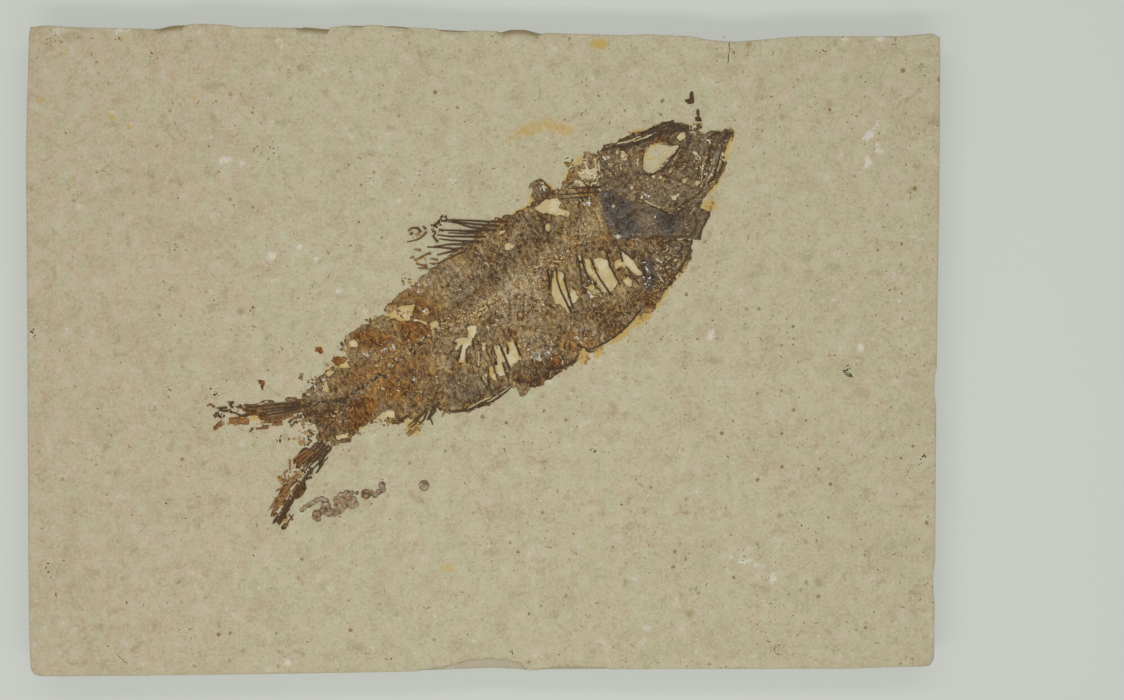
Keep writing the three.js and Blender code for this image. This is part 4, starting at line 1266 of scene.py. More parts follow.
OCHRE_PATCHES = [
    (0.8, 4, 584, 44, 592, 38, 611, 38, 610, 44, 604, 52, 594, 50),
    (0.6, 4, 500, 222, 515, 212, 535, 198, 536, 208, 520, 216, 505, 224),
    (1.0, 4, 630, 330, 638, 320, 640, 309, 653, 309, 652, 316, 642, 325),
    (1.0, 4, 612, 336, 628, 327, 630, 334, 618, 343, 608, 346),
    (1.0, 4, 593, 350, 606, 343, 604, 352, 596, 360), (1.0, 4, 576, 352, 588, 351, 588, 362, 578, 366),
    (0.8, 4, 405, 421, 422, 419, 420, 434, 406, 436),
    (1.2, 2, 702, 204, 708, 201, 711, 197.5, 717, 207, 708, 212),
    (1.0, 3, 630, 132, 642, 128, 644, 133, 632, 137),
    (0.8, 2, 637, 174, 640, 155, 648, 142, 660, 140, 659, 144, 650, 148, 646, 156, 644, 172),
    (0.66, 9, 496, 148, 516, 126, 545, 115, 576, 127, 570, 137, 545, 131, 522, 140),
    (0.7, 4, 248, 412, 262, 412, 262, 421, 248, 422), (0.5, 5, 437, 562, 457, 564, 457, 575, 439, 574),
    (0.7, 4, 312, 347, 320, 344, 326, 350, 318, 354),
    (0.6, 6, 562, 176, 570, 158, 590, 148, 592, 156, 574, 172),
]
SOCKET_LINES = [
    (0.7, 3, 648, 160, 658, 158.5, 667, 156), (0.7, 3, 655, 145, 656, 151), (0.6, 4, 656, 166, 662, 161),
    (0.6, 4, 646, 157, 648, 151, 652, 147), (0.5, 4, 667, 151, 672, 149),
]
OCHRE_DOTS = [
    (96, 63, 6), (111, 118, 7), (74, 180, 6), (120, 39, 6), (64, 51, 6), (49, 40, 6), (129, 127, 6),
    (233, 150, 3.5), (194, 98, 5), (123, 152, 5), (283, 46, 5), (191, 80, 6), (41, 101, 7),
]


class FOSSIL_OT_trunk(bpy.types.Operator):
    """Make the body film with its lost patches and scale mottling"""

    bl_idname = "fossil.trunk"
    bl_label = "Trunk"

    def execute(self, context):
        bone = context.scene.fossil_bone
        shape = {"ragged": 0.9, "seed": 3, "grow": 0.28, "windows": WINDOWS, "tear": 0.4}
        sheet = film_sheet([outer_loop("trunk")], bone.trunk_step / MM, **shape)
        bent = warped(sheet[0], 0.7, 2.4, 71)
        near = warped(sheet[0], 0.12, 0.9, 73)
        dark = painted_lines(near, TRUNK_LINES + [(0.9, 2.6, *path) for path in BELLY_EDGE])
        pale = painted_zones(bent, TRUNK_PALE) * (1 - painted_zones(near, NAPE_BLOTCHES))
        # Sheen paints a grey-white sheen on parts of the body
        masks = zone_masks(bent, Rust=TRUNK_RUST, Slate=TRUNK_SLATE, Deepen=TRUNK_DEEP, Ash=TRUNK_SHEEN)
        masks["Dark"] = dark
        masks["Pale"] = np.maximum(pale, painted_lines(near, TRUNK_LIGHTS))
        masks["Fleck"] = np.maximum(0.8 * stroke(bent, SPINE_LINE, 16), 0.6 * zone(bent, THROAT, 8))
        rise = 0.1 * dark + 0.1 * stroke(bent, SPINE_LINE, 9)
        thickness = bone.film_thickness / MM
        material = bone_material("body_film", 66)
        film_piece("trunk_film", sheet, thickness, rise, masks, material, "trunk")
        return {"FINISHED"}


TRUNK_PALE = [
    (0.6, 3, 569, 172, 576, 166, 584, 160, 592, 154, 599, 156, 600, 186, 585, 187, 572, 186),
    (0.35, 6, 590, 222, 604, 222, 608, 236, 596, 240, 588, 232),
    (0.5, 4, 567, 284, 574, 286, 578, 296, 570, 300),
]
NAPE_BLOTCHES = [
    (1.0, 1.5, 574, 164, 579, 159, 584, 166, 580, 171, 574, 169),
    (1.0, 1.5, 591, 154, 594, 151, 600, 154, 598, 158, 592, 157),
    (1.0, 1.5, 569, 172, 576, 169, 578, 178, 571, 183), (0.8, 1.5, 587, 157, 593, 157, 595, 167, 589, 169),
    (0.7, 1, 576, 178, 588, 180, 597, 180, 597, 182, 584, 183),
]
TRUNK_RUST = [
    (0.5, 30, 350, 372, 392, 316, 436, 286, 452, 320, 440, 350, 436, 398, 396, 414, 362, 420),
    (1.0, 5, 350, 402, 366, 394, 380, 398, 378, 412, 366, 422, 357, 431, 345, 429, 347, 412),
    (0.7, 6, 372, 384, 392, 374, 412, 382, 412, 396, 396, 404, 380, 398),
    (1.0, 4, 400, 324, 410, 320, 426, 327, 432, 333, 420, 340, 404, 339),
    (0.65, 6, 346, 340, 352, 332, 372, 326, 392, 330, 398, 342, 380, 352, 360, 352, 350, 350),
    (0.55, 6, 390, 304, 404, 292, 412, 288, 426, 296, 436, 302, 438, 314, 428, 318, 412, 304),
    (0.5, 8, 340, 372, 380, 352, 388, 366, 366, 380, 340, 396),
    (0.45, 8, 306, 412, 318, 404, 348, 402, 346, 428, 330, 434, 320, 424),
    (0.45, 8, 470, 284, 490, 284, 492, 296, 474, 300), (0.5, 8, 588, 236, 604, 234, 608, 246, 592, 250),
    (0.7, 4, 548, 356, 562, 354, 564, 366, 550, 370),
    (0.6, 6, 640, 290, 656, 288, 660, 298, 650, 312, 642, 310),
    (0.5, 4, 560, 330, 590, 330, 596, 345, 570, 352),
    (0.35, 5, 518, 380, 548, 370, 562, 376, 540, 394, 524, 394),
]
TRUNK_SLATE = [
    (0.35, 14, 440, 300, 480, 260, 520, 224, 560, 226, 540, 262, 500, 286, 460, 316),
    (0.55, 10, 440, 372, 470, 366, 500, 384, 508, 392, 480, 404, 450, 408, 440, 396),
    (0.6, 6, 512, 362, 540, 352, 556, 350, 548, 362, 528, 370, 514, 376),
    (0.9, 3, 641, 258, 651, 256, 655, 270, 654, 290, 646, 291, 641, 278),
    (0.4, 10, 520, 216, 545, 212, 560, 226, 540, 238, 522, 232),
    (0.4, 10, 640, 238, 690, 240, 684, 262, 660, 290, 654, 262),
    (0.5, 3, 533, 184, 548, 181, 552, 196, 540, 202),
]
# Painted sheen on the body, as grey-white washes
TRUNK_SHEEN = [
    (0.9, 8, 500, 284, 530, 270, 548, 284, 545, 310, 520, 330, 500, 318),
    (0.9, 8, 520, 340, 548, 338, 556, 352, 540, 362, 522, 356),
    (0.7, 6, 405, 280, 430, 270, 436, 282, 420, 296), (0.5, 8, 445, 268, 470, 270, 478, 290, 460, 296),
    (0.8, 5, 300, 398, 308, 388, 320, 378, 330, 378, 330, 394, 318, 399),
    (0.6, 8, 430, 348, 452, 350, 460, 364, 440, 374), (0.5, 8, 576, 318, 600, 326, 590, 340, 576, 336),
    (0.6, 5, 360, 345, 378, 345, 378, 360, 362, 358), (0.7, 4, 388, 344, 398, 342, 400, 352, 390, 354),
]
TRUNK_DEEP = [
    (0.7, 5, 514, 378, 548, 366, 574, 360, 562, 376, 540, 394, 524, 394),
    (0.4, 14, 450, 290, 480, 245, 520, 215, 560, 215, 575, 228, 540, 250, 500, 272, 466, 304),
    (0.5, 10, 345, 404, 366, 394, 382, 398, 380, 412, 357, 432, 345, 430),
    (0.3, 12, 560, 310, 600, 306, 636, 290, 640, 306, 600, 338, 566, 334),
    (0.6, 6, 298, 400, 330, 399, 350, 398, 350, 412, 344, 436, 328, 444, 318, 436, 316, 420, 304, 412),
    (0.7, 8, 600, 240, 692, 238, 684, 264, 660, 296, 650, 312, 630, 300, 640, 270, 620, 250),
    (0.5, 8, 580, 342, 604, 340, 640, 305, 632, 296, 600, 320, 580, 330),
    (0.5, 8, 452, 404, 480, 398, 508, 384, 500, 376, 470, 390, 446, 396),
    (0.5, 8, 500, 220, 520, 212, 536, 206, 545, 216, 520, 226, 500, 232),
    (0.5, 5, 534, 184, 548, 181, 552, 194, 540, 200),
]
TRUNK_LINES = [
    (0.8, 2.4, 655, 262, 662, 267, 671, 262, 679, 252, 683, 245),
    (0.7, 2.2, 658, 268, 665, 272, 674, 266, 682, 256), (0.7, 2, 644, 256, 645, 275, 648, 291),
    (0.6, 2, 650, 258, 651, 276, 653, 290), (0.8, 2, 668, 242, 680, 240, 690, 241),
    (0.7, 2.4, 536, 186, 541, 183, 547, 184, 550, 190, 547, 196), (0.7, 2, 320, 402, 335, 399, 350, 398),
    (0.6, 2, 300, 397, 312, 389, 322, 380), (0.6, 2, 306, 398, 318, 391, 326, 384),
    (0.6, 1.8, 322, 408, 328, 418, 326, 430), (0.6, 1.8, 330, 408, 336, 420, 334, 434),
    (0.6, 1.8, 338, 406, 343, 416, 342, 428), (0.7, 1.8, 413, 322, 420, 323, 427, 326),
    (0.8, 2, 490, 250, 500, 255, 510, 258),
]
TRUNK_LIGHTS = [
    (0.9, 1.8, 414, 320, 420, 321, 427, 324), (0.8, 1.8, 474, 313, 482, 309, 490, 303),
    (0.7, 1.8, 478, 316, 486, 311), (0.8, 1.8, 656, 259, 662, 263), (0.8, 1.8, 658, 275, 663, 281),
    (0.8, 1.8, 680, 238, 688, 239), (0.8, 2, 543, 186, 546, 188), (0.8, 2, 475, 252, 479, 254),
    (0.8, 2, 486, 263, 489, 267), (0.8, 2, 424, 311, 427, 309, 429, 312, 426, 314, 424, 311),
    (0.8, 2.2, 393, 345, 395, 349), (0.9, 2.2, 536, 358, 541, 360), (0.8, 2, 560, 355, 563, 359, 563, 363),
    (0.6, 1.3, 462, 408, 478, 403, 494, 396, 509, 386), (0.7, 2, 487, 327, 489, 329),
    (0.7, 2, 493, 325, 497, 325),
]
THROAT = [655, 245, 690, 243, 684, 264, 664, 292, 650, 305, 648, 270]


class FOSSIL_OT_head(bpy.types.Operator):
    """Make the skull with its eye socket, and the gill cover"""

    bl_idname = "fossil.head"
    bl_label = "Head"

    def execute(self, context):
        bone = context.scene.fossil_bone
        self.skull(bone)
        self.gill_cover(bone)
        return {"FINISHED"}

    @staticmethod
    def skull(bone):
        holes = [EYE_SOCKET, *SKULL_HOLES]
        shape = {"ragged": 0.5, "seed": 5, "grow": 0.25, "windows": holes, "tear": 0.3}
        sheet = film_sheet([outer_loop("skull")], bone.head_step / MM, **shape)
        bent = warped(sheet[0], 0.5, 1.6, 81)
        near = warped(sheet[0], 0.14, 0.8, 83)
        # Dark lines, partly dark bone and partly painted shadow where the skull's bones overlap
        dark = painted_lines(near, SKULL_LINES)
        light = painted_lines(near, SKULL_LIGHTS)
        crumbs = 0.85 * painted_spots(warped(sheet[0], 0.45, 0.8, 89), SKULL_SPOTS)
        rim = 0.5 * smooth(1 + edge_distance(bent, [on_face(EYE_SOCKET)]) / 0.8)
        # Sheen paints a grey-white sheen that lightens parts of the skull
        masks = zone_masks(bent, Rust=SKULL_RUST, Slate=SKULL_SLATE, Deepen=SKULL_DEEP, Ash=SKULL_SHEEN)
        masks["Deepen"] = np.maximum(0.25, masks["Deepen"])
        masks |= {"Dark": dark, "Pale": np.max([light, crumbs, rim], axis=0), "Fleck": 0.25}
        rise = 0.1 * dark + 0.14 * light + 0.15 * zone(bent, SKULL_ROOF, 4)
        material = bone_material("skull_bone", 125)
        film_piece("skull_bones", sheet, HEAD_FILM, rise, masks, material, "skull")

    @staticmethod
    def gill_cover(bone):
        sheet = film_sheet(top_loops("gill_cover"), bone.head_step / MM, ragged=0.3, seed=6, grow=0.28)
        near = warped(sheet[0], 0.12, 0.8, 87)
        bent = warped(sheet[0], 0.6, 2.0, 85)
        masks = zone_masks(bent, Rust=GILL_RUST, Slate=GILL_SLATE, Deepen=GILL_DEEP)
        masks["Dark"] = painted_lines(near, GILL_LINES)
        masks["Pale"] = np.maximum(painted_lines(near, GILL_LIGHTS), painted_spots(near, GILL_SPOTS))
        rise = 0.08 * masks["Dark"] + 0.1 * smooth(sheet[2] / 3)
        material = bone_material("gill_bone", 120)
        film_piece("gill_cover_plate", sheet, HEAD_FILM, rise, masks, material, "gill_cover")


EYE_SOCKET = [
    648, 148.5, 652, 145, 657, 143.5, 662, 144, 669, 147.5, 677.5, 146, 673.5, 152.5, 667, 158.5,
    661, 165.5, 657, 170, 652.5, 173, 647.5, 172.5, 644, 169, 643.5, 162, 645.5, 154,
]
SKULL_HOLES = [
    [677, 138, 680, 133.5, 684, 133, 684.5, 137, 680, 140],
    [730, 136, 733, 136, 732, 143, 729, 152, 726, 161, 724, 161, 727, 148],
]
SKULL_ROOF = [620, 146, 640, 134, 655, 126, 672, 121, 690, 127, 684, 133, 650, 140]
# Dark lines of the skull: partly dark bone and partly painted shadow where its bones overlap
SKULL_LINES = [
    (0.9, 2.2, 604, 146, 615, 142, 628, 138), (0.7, 3, 600, 151, 609, 149, 617, 147),
    (0.9, 3.4, 641, 134, 648, 130, 655, 127, 663, 124, 671, 122.5),
    (0.8, 2.4, 650, 133, 660, 129, 672, 125), (0.95, 4, 619, 147, 632, 145, 642, 142, 652, 137.5, 662, 134),
    (0.95, 4.4, 660, 133, 672, 131, 682, 129.5, 689, 127), (0.8, 2.4, 668, 127, 678, 126, 689, 127),
    (0.9, 6, 667, 141, 670, 144), (0.85, 2.4, 642, 174, 652, 175, 661, 171, 669, 162, 676, 153),
    (0.6, 2, 604, 165, 612, 172, 620, 186), (0.6, 2, 612, 160, 622, 172, 632, 184),
    (0.6, 2, 625, 152, 630, 162, 634, 174), (0.6, 2.2, 606, 178, 618, 180, 630, 188, 642, 190),
    (0.8, 2, 620, 150, 627, 152, 622, 157), (0.7, 2.4, 686, 131, 690, 138, 688, 146),
    (0.7, 2.2, 693, 146, 690, 158, 684, 170), (0.8, 3, 707, 140, 712, 135, 718, 133),
    (0.9, 3.4, 721, 141, 726, 135, 730, 133), (0.8, 2.4, 711, 146, 708, 156, 710, 166),
    (0.8, 2.6, 713, 178, 717, 168, 720, 156, 722, 146), (0.8, 2.2, 719, 174, 722, 166, 724, 158),
    (0.7, 2.2, 700, 190, 706, 184, 712, 180, 718, 176), (0.7, 2, 701, 176, 706, 166, 710, 152),
    (0.7, 2, 696, 176, 701, 166, 705, 150), (0.6, 2.4, 664, 176, 676, 180, 688, 186, 698, 190),
    (0.7, 2.4, 676, 210, 684, 203, 694, 197, 704, 190),
]
SKULL_LIGHTS = [
    (0.8, 1.6, 618, 144, 630, 141, 640, 137), (0.8, 1.6, 634, 142, 646, 137, 652, 135),
    (0.7, 1.6, 652, 126, 660, 124), (0.6, 1.6, 700, 188, 706, 176, 711, 166, 716, 154),
    (0.6, 1.6, 704, 188, 709, 178, 714, 168), (0.65, 1.6, 717, 172, 720, 163, 722, 152),
    (0.7, 1.8, 701, 180, 702, 172, 700, 166), (0.6, 1.6, 680, 150, 676, 157, 672, 164),
    (0.8, 2, 622, 152, 627, 156, 624, 160), (0.7, 1.6, 645, 201, 653, 205.5, 662, 208, 668, 206),
    (0.6, 2, 690, 152, 696, 153, 698, 157), (0.7, 1.6, 637, 158, 638, 165), (0.7, 1.6, 601, 172, 602, 178),
    (0.6, 1.4, 708, 186, 715, 180),
]
SKULL_SPOTS = [
    (654, 176.5, 3.2), (685, 181, 3), (632, 188, 2.4), (712, 175, 2.4), (671, 172, 2.2), (697, 184, 2.4),
    (674, 198, 4), (684, 167, 1.8), (623, 156, 3), (695, 154, 3), (621, 168, 2), (661, 178, 2),
    (616, 153, 2.4), (677, 196, 2.4),
]
SKULL_RUST = [
    (0.9, 2, 640, 166, 642, 154, 650, 144, 660, 137, 666, 136, 664, 141, 652, 146, 646, 155, 643, 168),
    (0.34, 6, 603, 152, 630, 154, 640, 160, 644, 178, 650, 192, 606, 188),
    (0.5, 4, 646, 174, 672, 172, 676, 178, 650, 182),
]
SKULL_SLATE = [
    (0.5, 4, 604, 148, 632, 143, 660, 132, 688, 127, 680, 121, 650, 124, 630, 138),
    (0.4, 6, 676, 140, 690, 142, 688, 160, 676, 170, 668, 168),
    (0.45, 5, 708, 146, 722, 140, 724, 160, 714, 182, 708, 176),
    (0.4, 5, 676, 202, 692, 200, 690, 212, 676, 212),
]
# Painted sheen on the skull, as grey-white washes
SKULL_SHEEN = [
    (0.25, 6, 650, 182, 690, 182, 694, 194, 672, 206, 652, 200),
    (0.2, 4, 702, 170, 716, 150, 724, 146, 720, 170, 704, 190),
    (0.45, 6, 603, 152, 630, 154, 640, 162, 646, 190, 606, 188),
]
SKULL_DEEP = [
    (0.5, 6, 696, 150, 720, 148, 718, 176, 700, 192, 690, 184),
    (0.7, 4, 620, 146, 650, 132, 690, 126, 686, 132, 650, 142),
    (0.6, 4, 706, 136, 730, 132, 724, 146, 710, 148),
]
GILL_LINES = [
    (0.95, 2, 637, 199, 645, 201.5, 652, 206, 660, 210, 668, 214, 675, 217), (0.9, 3, 609, 203, 613, 206),
    (0.95, 3, 617, 223, 617.5, 228), (0.6, 2, 682, 212, 684, 224, 682, 234),
    (0.7, 2, 694, 212, 697, 224, 692, 236), (0.7, 2, 676, 216, 683, 208, 690, 204),
    (0.8, 2.4, 709, 213, 704, 226, 698, 237), (0.7, 2, 640, 240, 655, 236, 670, 237, 690, 236),
]
GILL_LIGHTS = [
    (0.6, 1.6, 684, 222, 687, 228), (0.6, 1.6, 690, 214, 695, 208), (0.6, 1.6, 632, 235, 640, 234),
    (0.5, 1.6, 646, 217, 652, 224, 655, 228),
]
GILL_SLATE = [
    (1.0, 6, 602, 189, 612, 192, 624, 197, 631, 206, 637, 218, 645, 235, 618, 238, 606, 215),
    (0.8, 7, 655, 211, 676, 213, 682, 221, 677, 232, 669, 234, 659, 228, 652, 219),
]
GILL_DEEP = [
    (0.8, 6, 600, 192, 630, 204, 636, 222, 616, 236, 606, 216),
    (0.9, 6, 652, 208, 676, 216, 682, 228, 664, 234, 654, 222),
]
GILL_SPOTS = [(613, 206, 2.4), (618, 237, 3), (655, 217, 1.6)]
GILL_RUST = [
    (0.25, 6, 640, 212, 654, 214, 660, 234, 642, 238), (0.3, 6, 686, 212, 708, 212, 700, 236, 688, 236),
]


class FOSSIL_OT_tail(bpy.types.Operator):
    """Make the two tail lobes"""

    bl_idname = "fossil.tail"
    bl_label = "Tail"

    def execute(self, context):
        step = context.scene.fossil_bone.fine_step / MM
        for node, turn, grow, holes, rusty, faded in (
            ("tail_upper_lobe", 6, 0.75, [], UPPER_LOBE_RUST, []),
            ("tail_lower_lobe", 55, 0.25, LOWER_LOBE_HOLES, LOWER_LOBE_RUST, LOWER_LOBE_PALE),
        ):
            shape = {"ragged": 1.2, "seed": 8, "grow": grow, "windows": holes, "tear": 1.2, "comb": turn}
            sheet = film_sheet(top_loops(node), step, **shape)
            masks = zone_masks(warped(sheet[0], 0.4, 1.2, 93), Pale=faded, Rust=rusty)
            material = bone_material(node + "_bone", -turn)
            film_piece(node + "_film", sheet, TAIL_FILM, 0.0, masks, material, node)
        return {"FINISHED"}


UPPER_LOBE_RUST = [(0.9, 3, 248, 412, 262, 412, 268, 420, 258, 421)]
LOWER_LOBE_RUST = [
    (0.8, 3, 290, 462, 296, 452, 304, 450, 304, 458, 296, 468),
    (1.0, 3, 280, 484, 298, 474, 298, 484, 284, 500, 276, 518, 268, 510, 274, 492),
    (0.9, 3, 288, 502, 304, 476, 314, 476, 298, 504, 284, 524, 278, 522),
]
LOWER_LOBE_PALE = [
    (0.5, 3, 291, 466, 306, 466, 312, 474, 300, 486, 290, 484),
    (0.4, 3, 276, 498, 290, 486, 298, 492, 288, 510, 278, 518),
]
LOWER_LOBE_HOLES = [
    [314, 465, 318, 463, 319, 468, 315, 471], [303, 471, 309, 466, 312, 468, 306, 474],
    [284, 499, 290, 490, 293, 492, 287, 502], [294, 477, 297, 470, 303, 468, 301, 475],
    [289, 490, 296, 481, 299, 482, 292, 492], [276, 512, 281, 504, 283, 506, 279, 514],
    [288, 484, 292, 478, 295, 479, 291, 486],
]


class FOSSIL_OT_flakes(bpy.types.Operator):
    """Make the loose scales and flakes of bone around the fish"""

    bl_idname = "fossil.flakes"
    bl_label = "Loose flakes"

    def execute(self, context):
        step = context.scene.fossil_bone.fine_step / MM
        material = bone_material("loose_scale", 0)
        for group, mask, strengths in FLAKE_STAINS:
            for number, node in enumerate(numbered(group, len(strengths))):
                sheet = film_sheet(top_loops(node), step, ragged=0.5, seed=20 + number, grow=0.05)
                masks = {mask: strengths[number]}
                film_piece(node + "_film", sheet, FLAKE_FILM, 0.0, masks, material, node)
        return {"FINISHED"}


FLAKE_STAINS = [
    ("snout_flake", "Dark", (0.9, 0.9, 0.9)),
    ("back_flake", "Rust", (0.9, 0.8, 0.5, 0.1, 0.8)),
    ("tail_flake", "Rust", (0.45, 0.1, 0.35, 0.4)),
]


class FOSSIL_OT_backbone(bpy.types.Operator):
    """Make the grains of the backbone's rear stretch and its row of vertebrae"""

    bl_idname = "fossil.backbone"
    bl_label = "Backbone"

    def execute(self, context):
        draw = np.random.RandomState(17)
        material = rod_material("spine_bone")
        path = np.reshape(BACKBONE, (-1, 2)).astype(float)
        way = np.concatenate([[0], np.cumsum(np.linalg.norm(np.diff(path, axis=0), axis=1))])
        rows = []
        for share in np.linspace(0, 1, SPINE_GRAINS):
            x, y = (np.interp(share * way[-1], way, path[:, axis]) for axis in (0, 1))
            rows.append((x, y, 1.2, 0.5 + 1.3 * share, 2, 0.2))
        beads = {"Material": material, "Flatness": 0.6, "Lumps": 1.2, "Stretch": 2.2}
        source = strewn(rows, draw, FACE + 0.29, small=0.08, large=0.24)
        nodes_piece("backbone_grains", bead_tree(), source, beads, ["backbone"])
        rows = [(x, y, 3.4, 2.8, 9, 0.15) for x, y in VERTEBRAE]
        rows += [(x + 2, y - 3, 4.0, 2.6, 7, 0.9) for x, y in VERTEBRAE]
        source = strewn(rows, draw, FACE + 0.27, small=0.09, large=0.28)
        nodes = numbered("vertebra", len(VERTEBRAE))
        nodes_piece("vertebrae", bead_tree(), source, beads, nodes)
        return {"FINISHED"}


class FOSSIL_OT_fin_rays(bpy.types.Operator):
    """Make the separate rays of the dorsal, anal and tail fins"""

    bl_idname = "fossil.fin_rays"
    bl_label = "Fin rays"

    def execute(self, context):
        material = rod_material("ray_bone")
        for name, paths, nodes in (
            ("dorsal_fin", DORSAL_RAYS, numbered("dorsal_ray", 9)),
            ("anal_fin", ANAL_RAYS, numbered("anal_ray", 7)),
            ("tail_ray_ends", TAIL_STRANDS, numbered("tail_ray", 6)),
        ):
            level, lift = (0.18, 0.0) if name == "tail_ray_ends" else (0.06, 0.2)
            source = path_source(paths, FACE + level, lift, tip=0.12, root=0.25)
            nodes_piece(name, rod_tree(), source, {"Material": material}, nodes)
        return {"FINISHED"}


class FOSSIL_OT_ribs(bpy.types.Operator):
    """Make the ribs that cross the lost patches, the belly's keel and the small bones of the nape"""

    bl_idname = "fossil.ribs"
    bl_label = "Ribs"

    def execute(self, context):
        material = rod_material("rib_bone")
        source = path_source(RIBS, FACE + 0.22, tip=0.13, root=0.2)
        nodes_piece("ribs", rod_tree(), source, {"Material": material, "Crook": 0.14 * MM})
        return {"FINISHED"}


# Fibres run along the spine where they are near it or behind the tail's start, and else along the ribs
SPINE_REACH = 2.6
TAIL_START = -26
SPINE_TURN = math.radians(35)
RIB_TURN = math.radians(-66)


class FOSSIL_OT_fibres(bpy.types.Operator):
    """Scatter the fine fibres and crumbs of broken scale on and around the body"""

    bl_idname = "fossil.fibres"
    bl_label = "Fibres and crumbs"

    def execute(self, context):
        bone = context.scene.fossil_bone
        draw = np.random.RandomState(bone.fibre_seed)
        self.fibres(bone, draw)
        self.crumbs(draw)
        return {"FINISHED"}

    @staticmethod
    def fibres(bone, draw):
        """Short rods of broken scale on the body film, clear of its lost patches"""
        outline = outer_loop("trunk")
        low, high = outline.min(axis=0), outline.max(axis=0)
        points = low + draw.rand(bone.fibre_count * 3, 2) * (high - low)
        holes = strongest([edge_distance(points, [on_face(window)]) for window in WINDOWS], len(points))
        points = points[(edge_distance(points, [outline]) > 0.4) & (holes <= 0)][:bone.fibre_count]
        count = len(points)
        spine = path_distance(points, on_face(BACKBONE + SPINE_LINE))
        near = spine < SPINE_REACH
        turn = np.where(near | (points[:, 0] < TAIL_START), SPINE_TURN, RIB_TURN)
        turn += draw.randn(count) * 0.7
        length = 0.4 + 0.9 * draw.rand(count)
        light = draw.rand(count) < np.where(near, 0.6, 0.35)
        tones = np.where(light, 0.85, 0.1) + 0.15 * draw.randn(count)
        half = 0.5 * length[:, None] * np.stack([np.cos(turn), np.sin(turn)], axis=1)
        ends = np.stack([points - half, points + half], axis=1).reshape(-1, 2)
        level = FACE + 0.27 + 0.08 * draw.rand(count)
        places = np.column_stack([ends, np.repeat(level, 2)]) * MM
        edges = np.arange(len(ends)).reshape(-1, 2)
        girths = np.repeat(0.03 + 0.05 * draw.rand(count), 2) * MM
        source = source_mesh(places.tolist(), edges.tolist(), girths, np.repeat(tones, 2))
        rods = {"Material": rod_material("scale_fibre"), "Crook": 0.5 * MM, "Sides": 5}
        nodes_piece("scale_fibres", rod_tree(), source, rods)

    @staticmethod
    def crumbs(draw):
        """Bits of bone strewn around the broken edges, and bits of scale on the body"""
        shape = {"Flatness": 0.5, "Lumps": 1.4, "Stretch": 2.4}
        bones = strewn(CRUMBS, draw, FACE + 0.03, small=0.1, large=0.3)
        bead_piece("bone_crumb", 0.6, bones, shape)
        scales = strewn(SCALE_CRUMBS, draw, FACE + 0.3, small=0.06, large=0.2)
        bead_piece("scale_crumb", 0.6, scales, shape)


class FOSSIL_OT_droppings(bpy.types.Operator):
    """Make the beaded fossil droppings below the tail"""

    bl_idname = "fossil.droppings"
    bl_label = "Droppings"

    def execute(self, context):
        step = context.scene.fossil_bone.fine_step / MM
        material = bone_material("dropping", 0)
        for node, beads in DROPPINGS.items():
            centres = on_face([bead[:2] for bead in beads])
            radii = np.array([bead[2] for bead in beads]) / PIXELS_PER_MM
            low, high = centres.min(axis=0) - 1.6, centres.max(axis=0) + 1.6
            xs, ys = np.arange(low[0], high[0], step), np.arange(low[1], high[1], step)
            places, triangles = contour_sheet(xs, ys, self.depth(grid_points(xs, ys), centres, radii)[0])
            depth, gaps = self.depth(places, centres, radii)
            depth = np.maximum(depth, 0)
            domes = np.sqrt(np.maximum(radii[None] ** 2 - gaps ** 2, 0)) * 0.72
            rise = np.max(domes, axis=1)
            # Painted shade in the creases between the beads
            crease_shade = smooth(1.1 - rise / (0.62 * radii[np.argmax(domes, axis=1)]))
            masks = {"Dark": 0.6 * crease_shade, "Depth": depth + 1}
            sheet = (places, triangles, depth)
            film_piece(node + "_body", sheet, DROPPING_FILM, rise, masks, material, node)
        return {"FINISHED"}

    @staticmethod
    def depth(points, centres, radii):
        """How deep each point is inside the beads' ragged outline, and how far from each bead's middle"""
        gaps = np.linalg.norm(points[:, None] - centres[None], axis=2)
        return np.max(radii - gaps, axis=1) + 0.08 * fractal(points, 0.6, 3, 33), gaps


# Mineral marks on the stone as centre, spread, number and tone
DARK_SPECKS = [
    (154, 57, 5, 5, 5, 0.1), (268, 152, 11, 10, 32, 0.0), (391, 154, 4, 4, 4, 0.2), (176, 246, 4, 4, 4, 0.2),
    (178, 198, 3, 3, 3, 0.1), (215, 300, 5, 5, 6, 0.1), (168, 391, 7, 8, 16, 0.1), (214, 391, 5, 6, 14, 0.0),
    (280, 439, 3, 3, 8, 0.0), (280, 350, 3, 3, 6, 0.1), (252, 309, 3, 3, 4, 0.1), (435, 131, 4, 4, 4, 0.2),
    (720, 340, 5, 5, 5, 0.2), (713, 321, 4, 4, 4, 0.2), (592, 450, 4, 4, 4, 0.2), (767, 533, 4, 4, 4, 0.3),
    (757, 545, 4, 4, 4, 0.3), (802, 522, 4, 4, 4, 0.3), (35, 335, 4, 8, 9, 0.0), (48, 372, 4, 4, 4, 0.1),
    (50, 570, 8, 8, 10, 0.0), (925, 460, 5, 8, 8, 0.1), (655, 664, 8, 3, 6, 0.2), (690, 664, 6, 3, 4, 0.3),
    (847, 370, 3, 4, 9, -0.1), (767, 66, 1, 1, 2, 0.0), (920, 258, 1, 1, 2, 0.0), (48, 40, 3, 2, 5, 0.8),
    (95, 63, 2, 2, 4, 0.8), (121, 39, 2, 2, 4, 0.8), (821, 52, 8, 3, 12, 0.9), (776, 652, 4, 7, 12, 1.0),
]
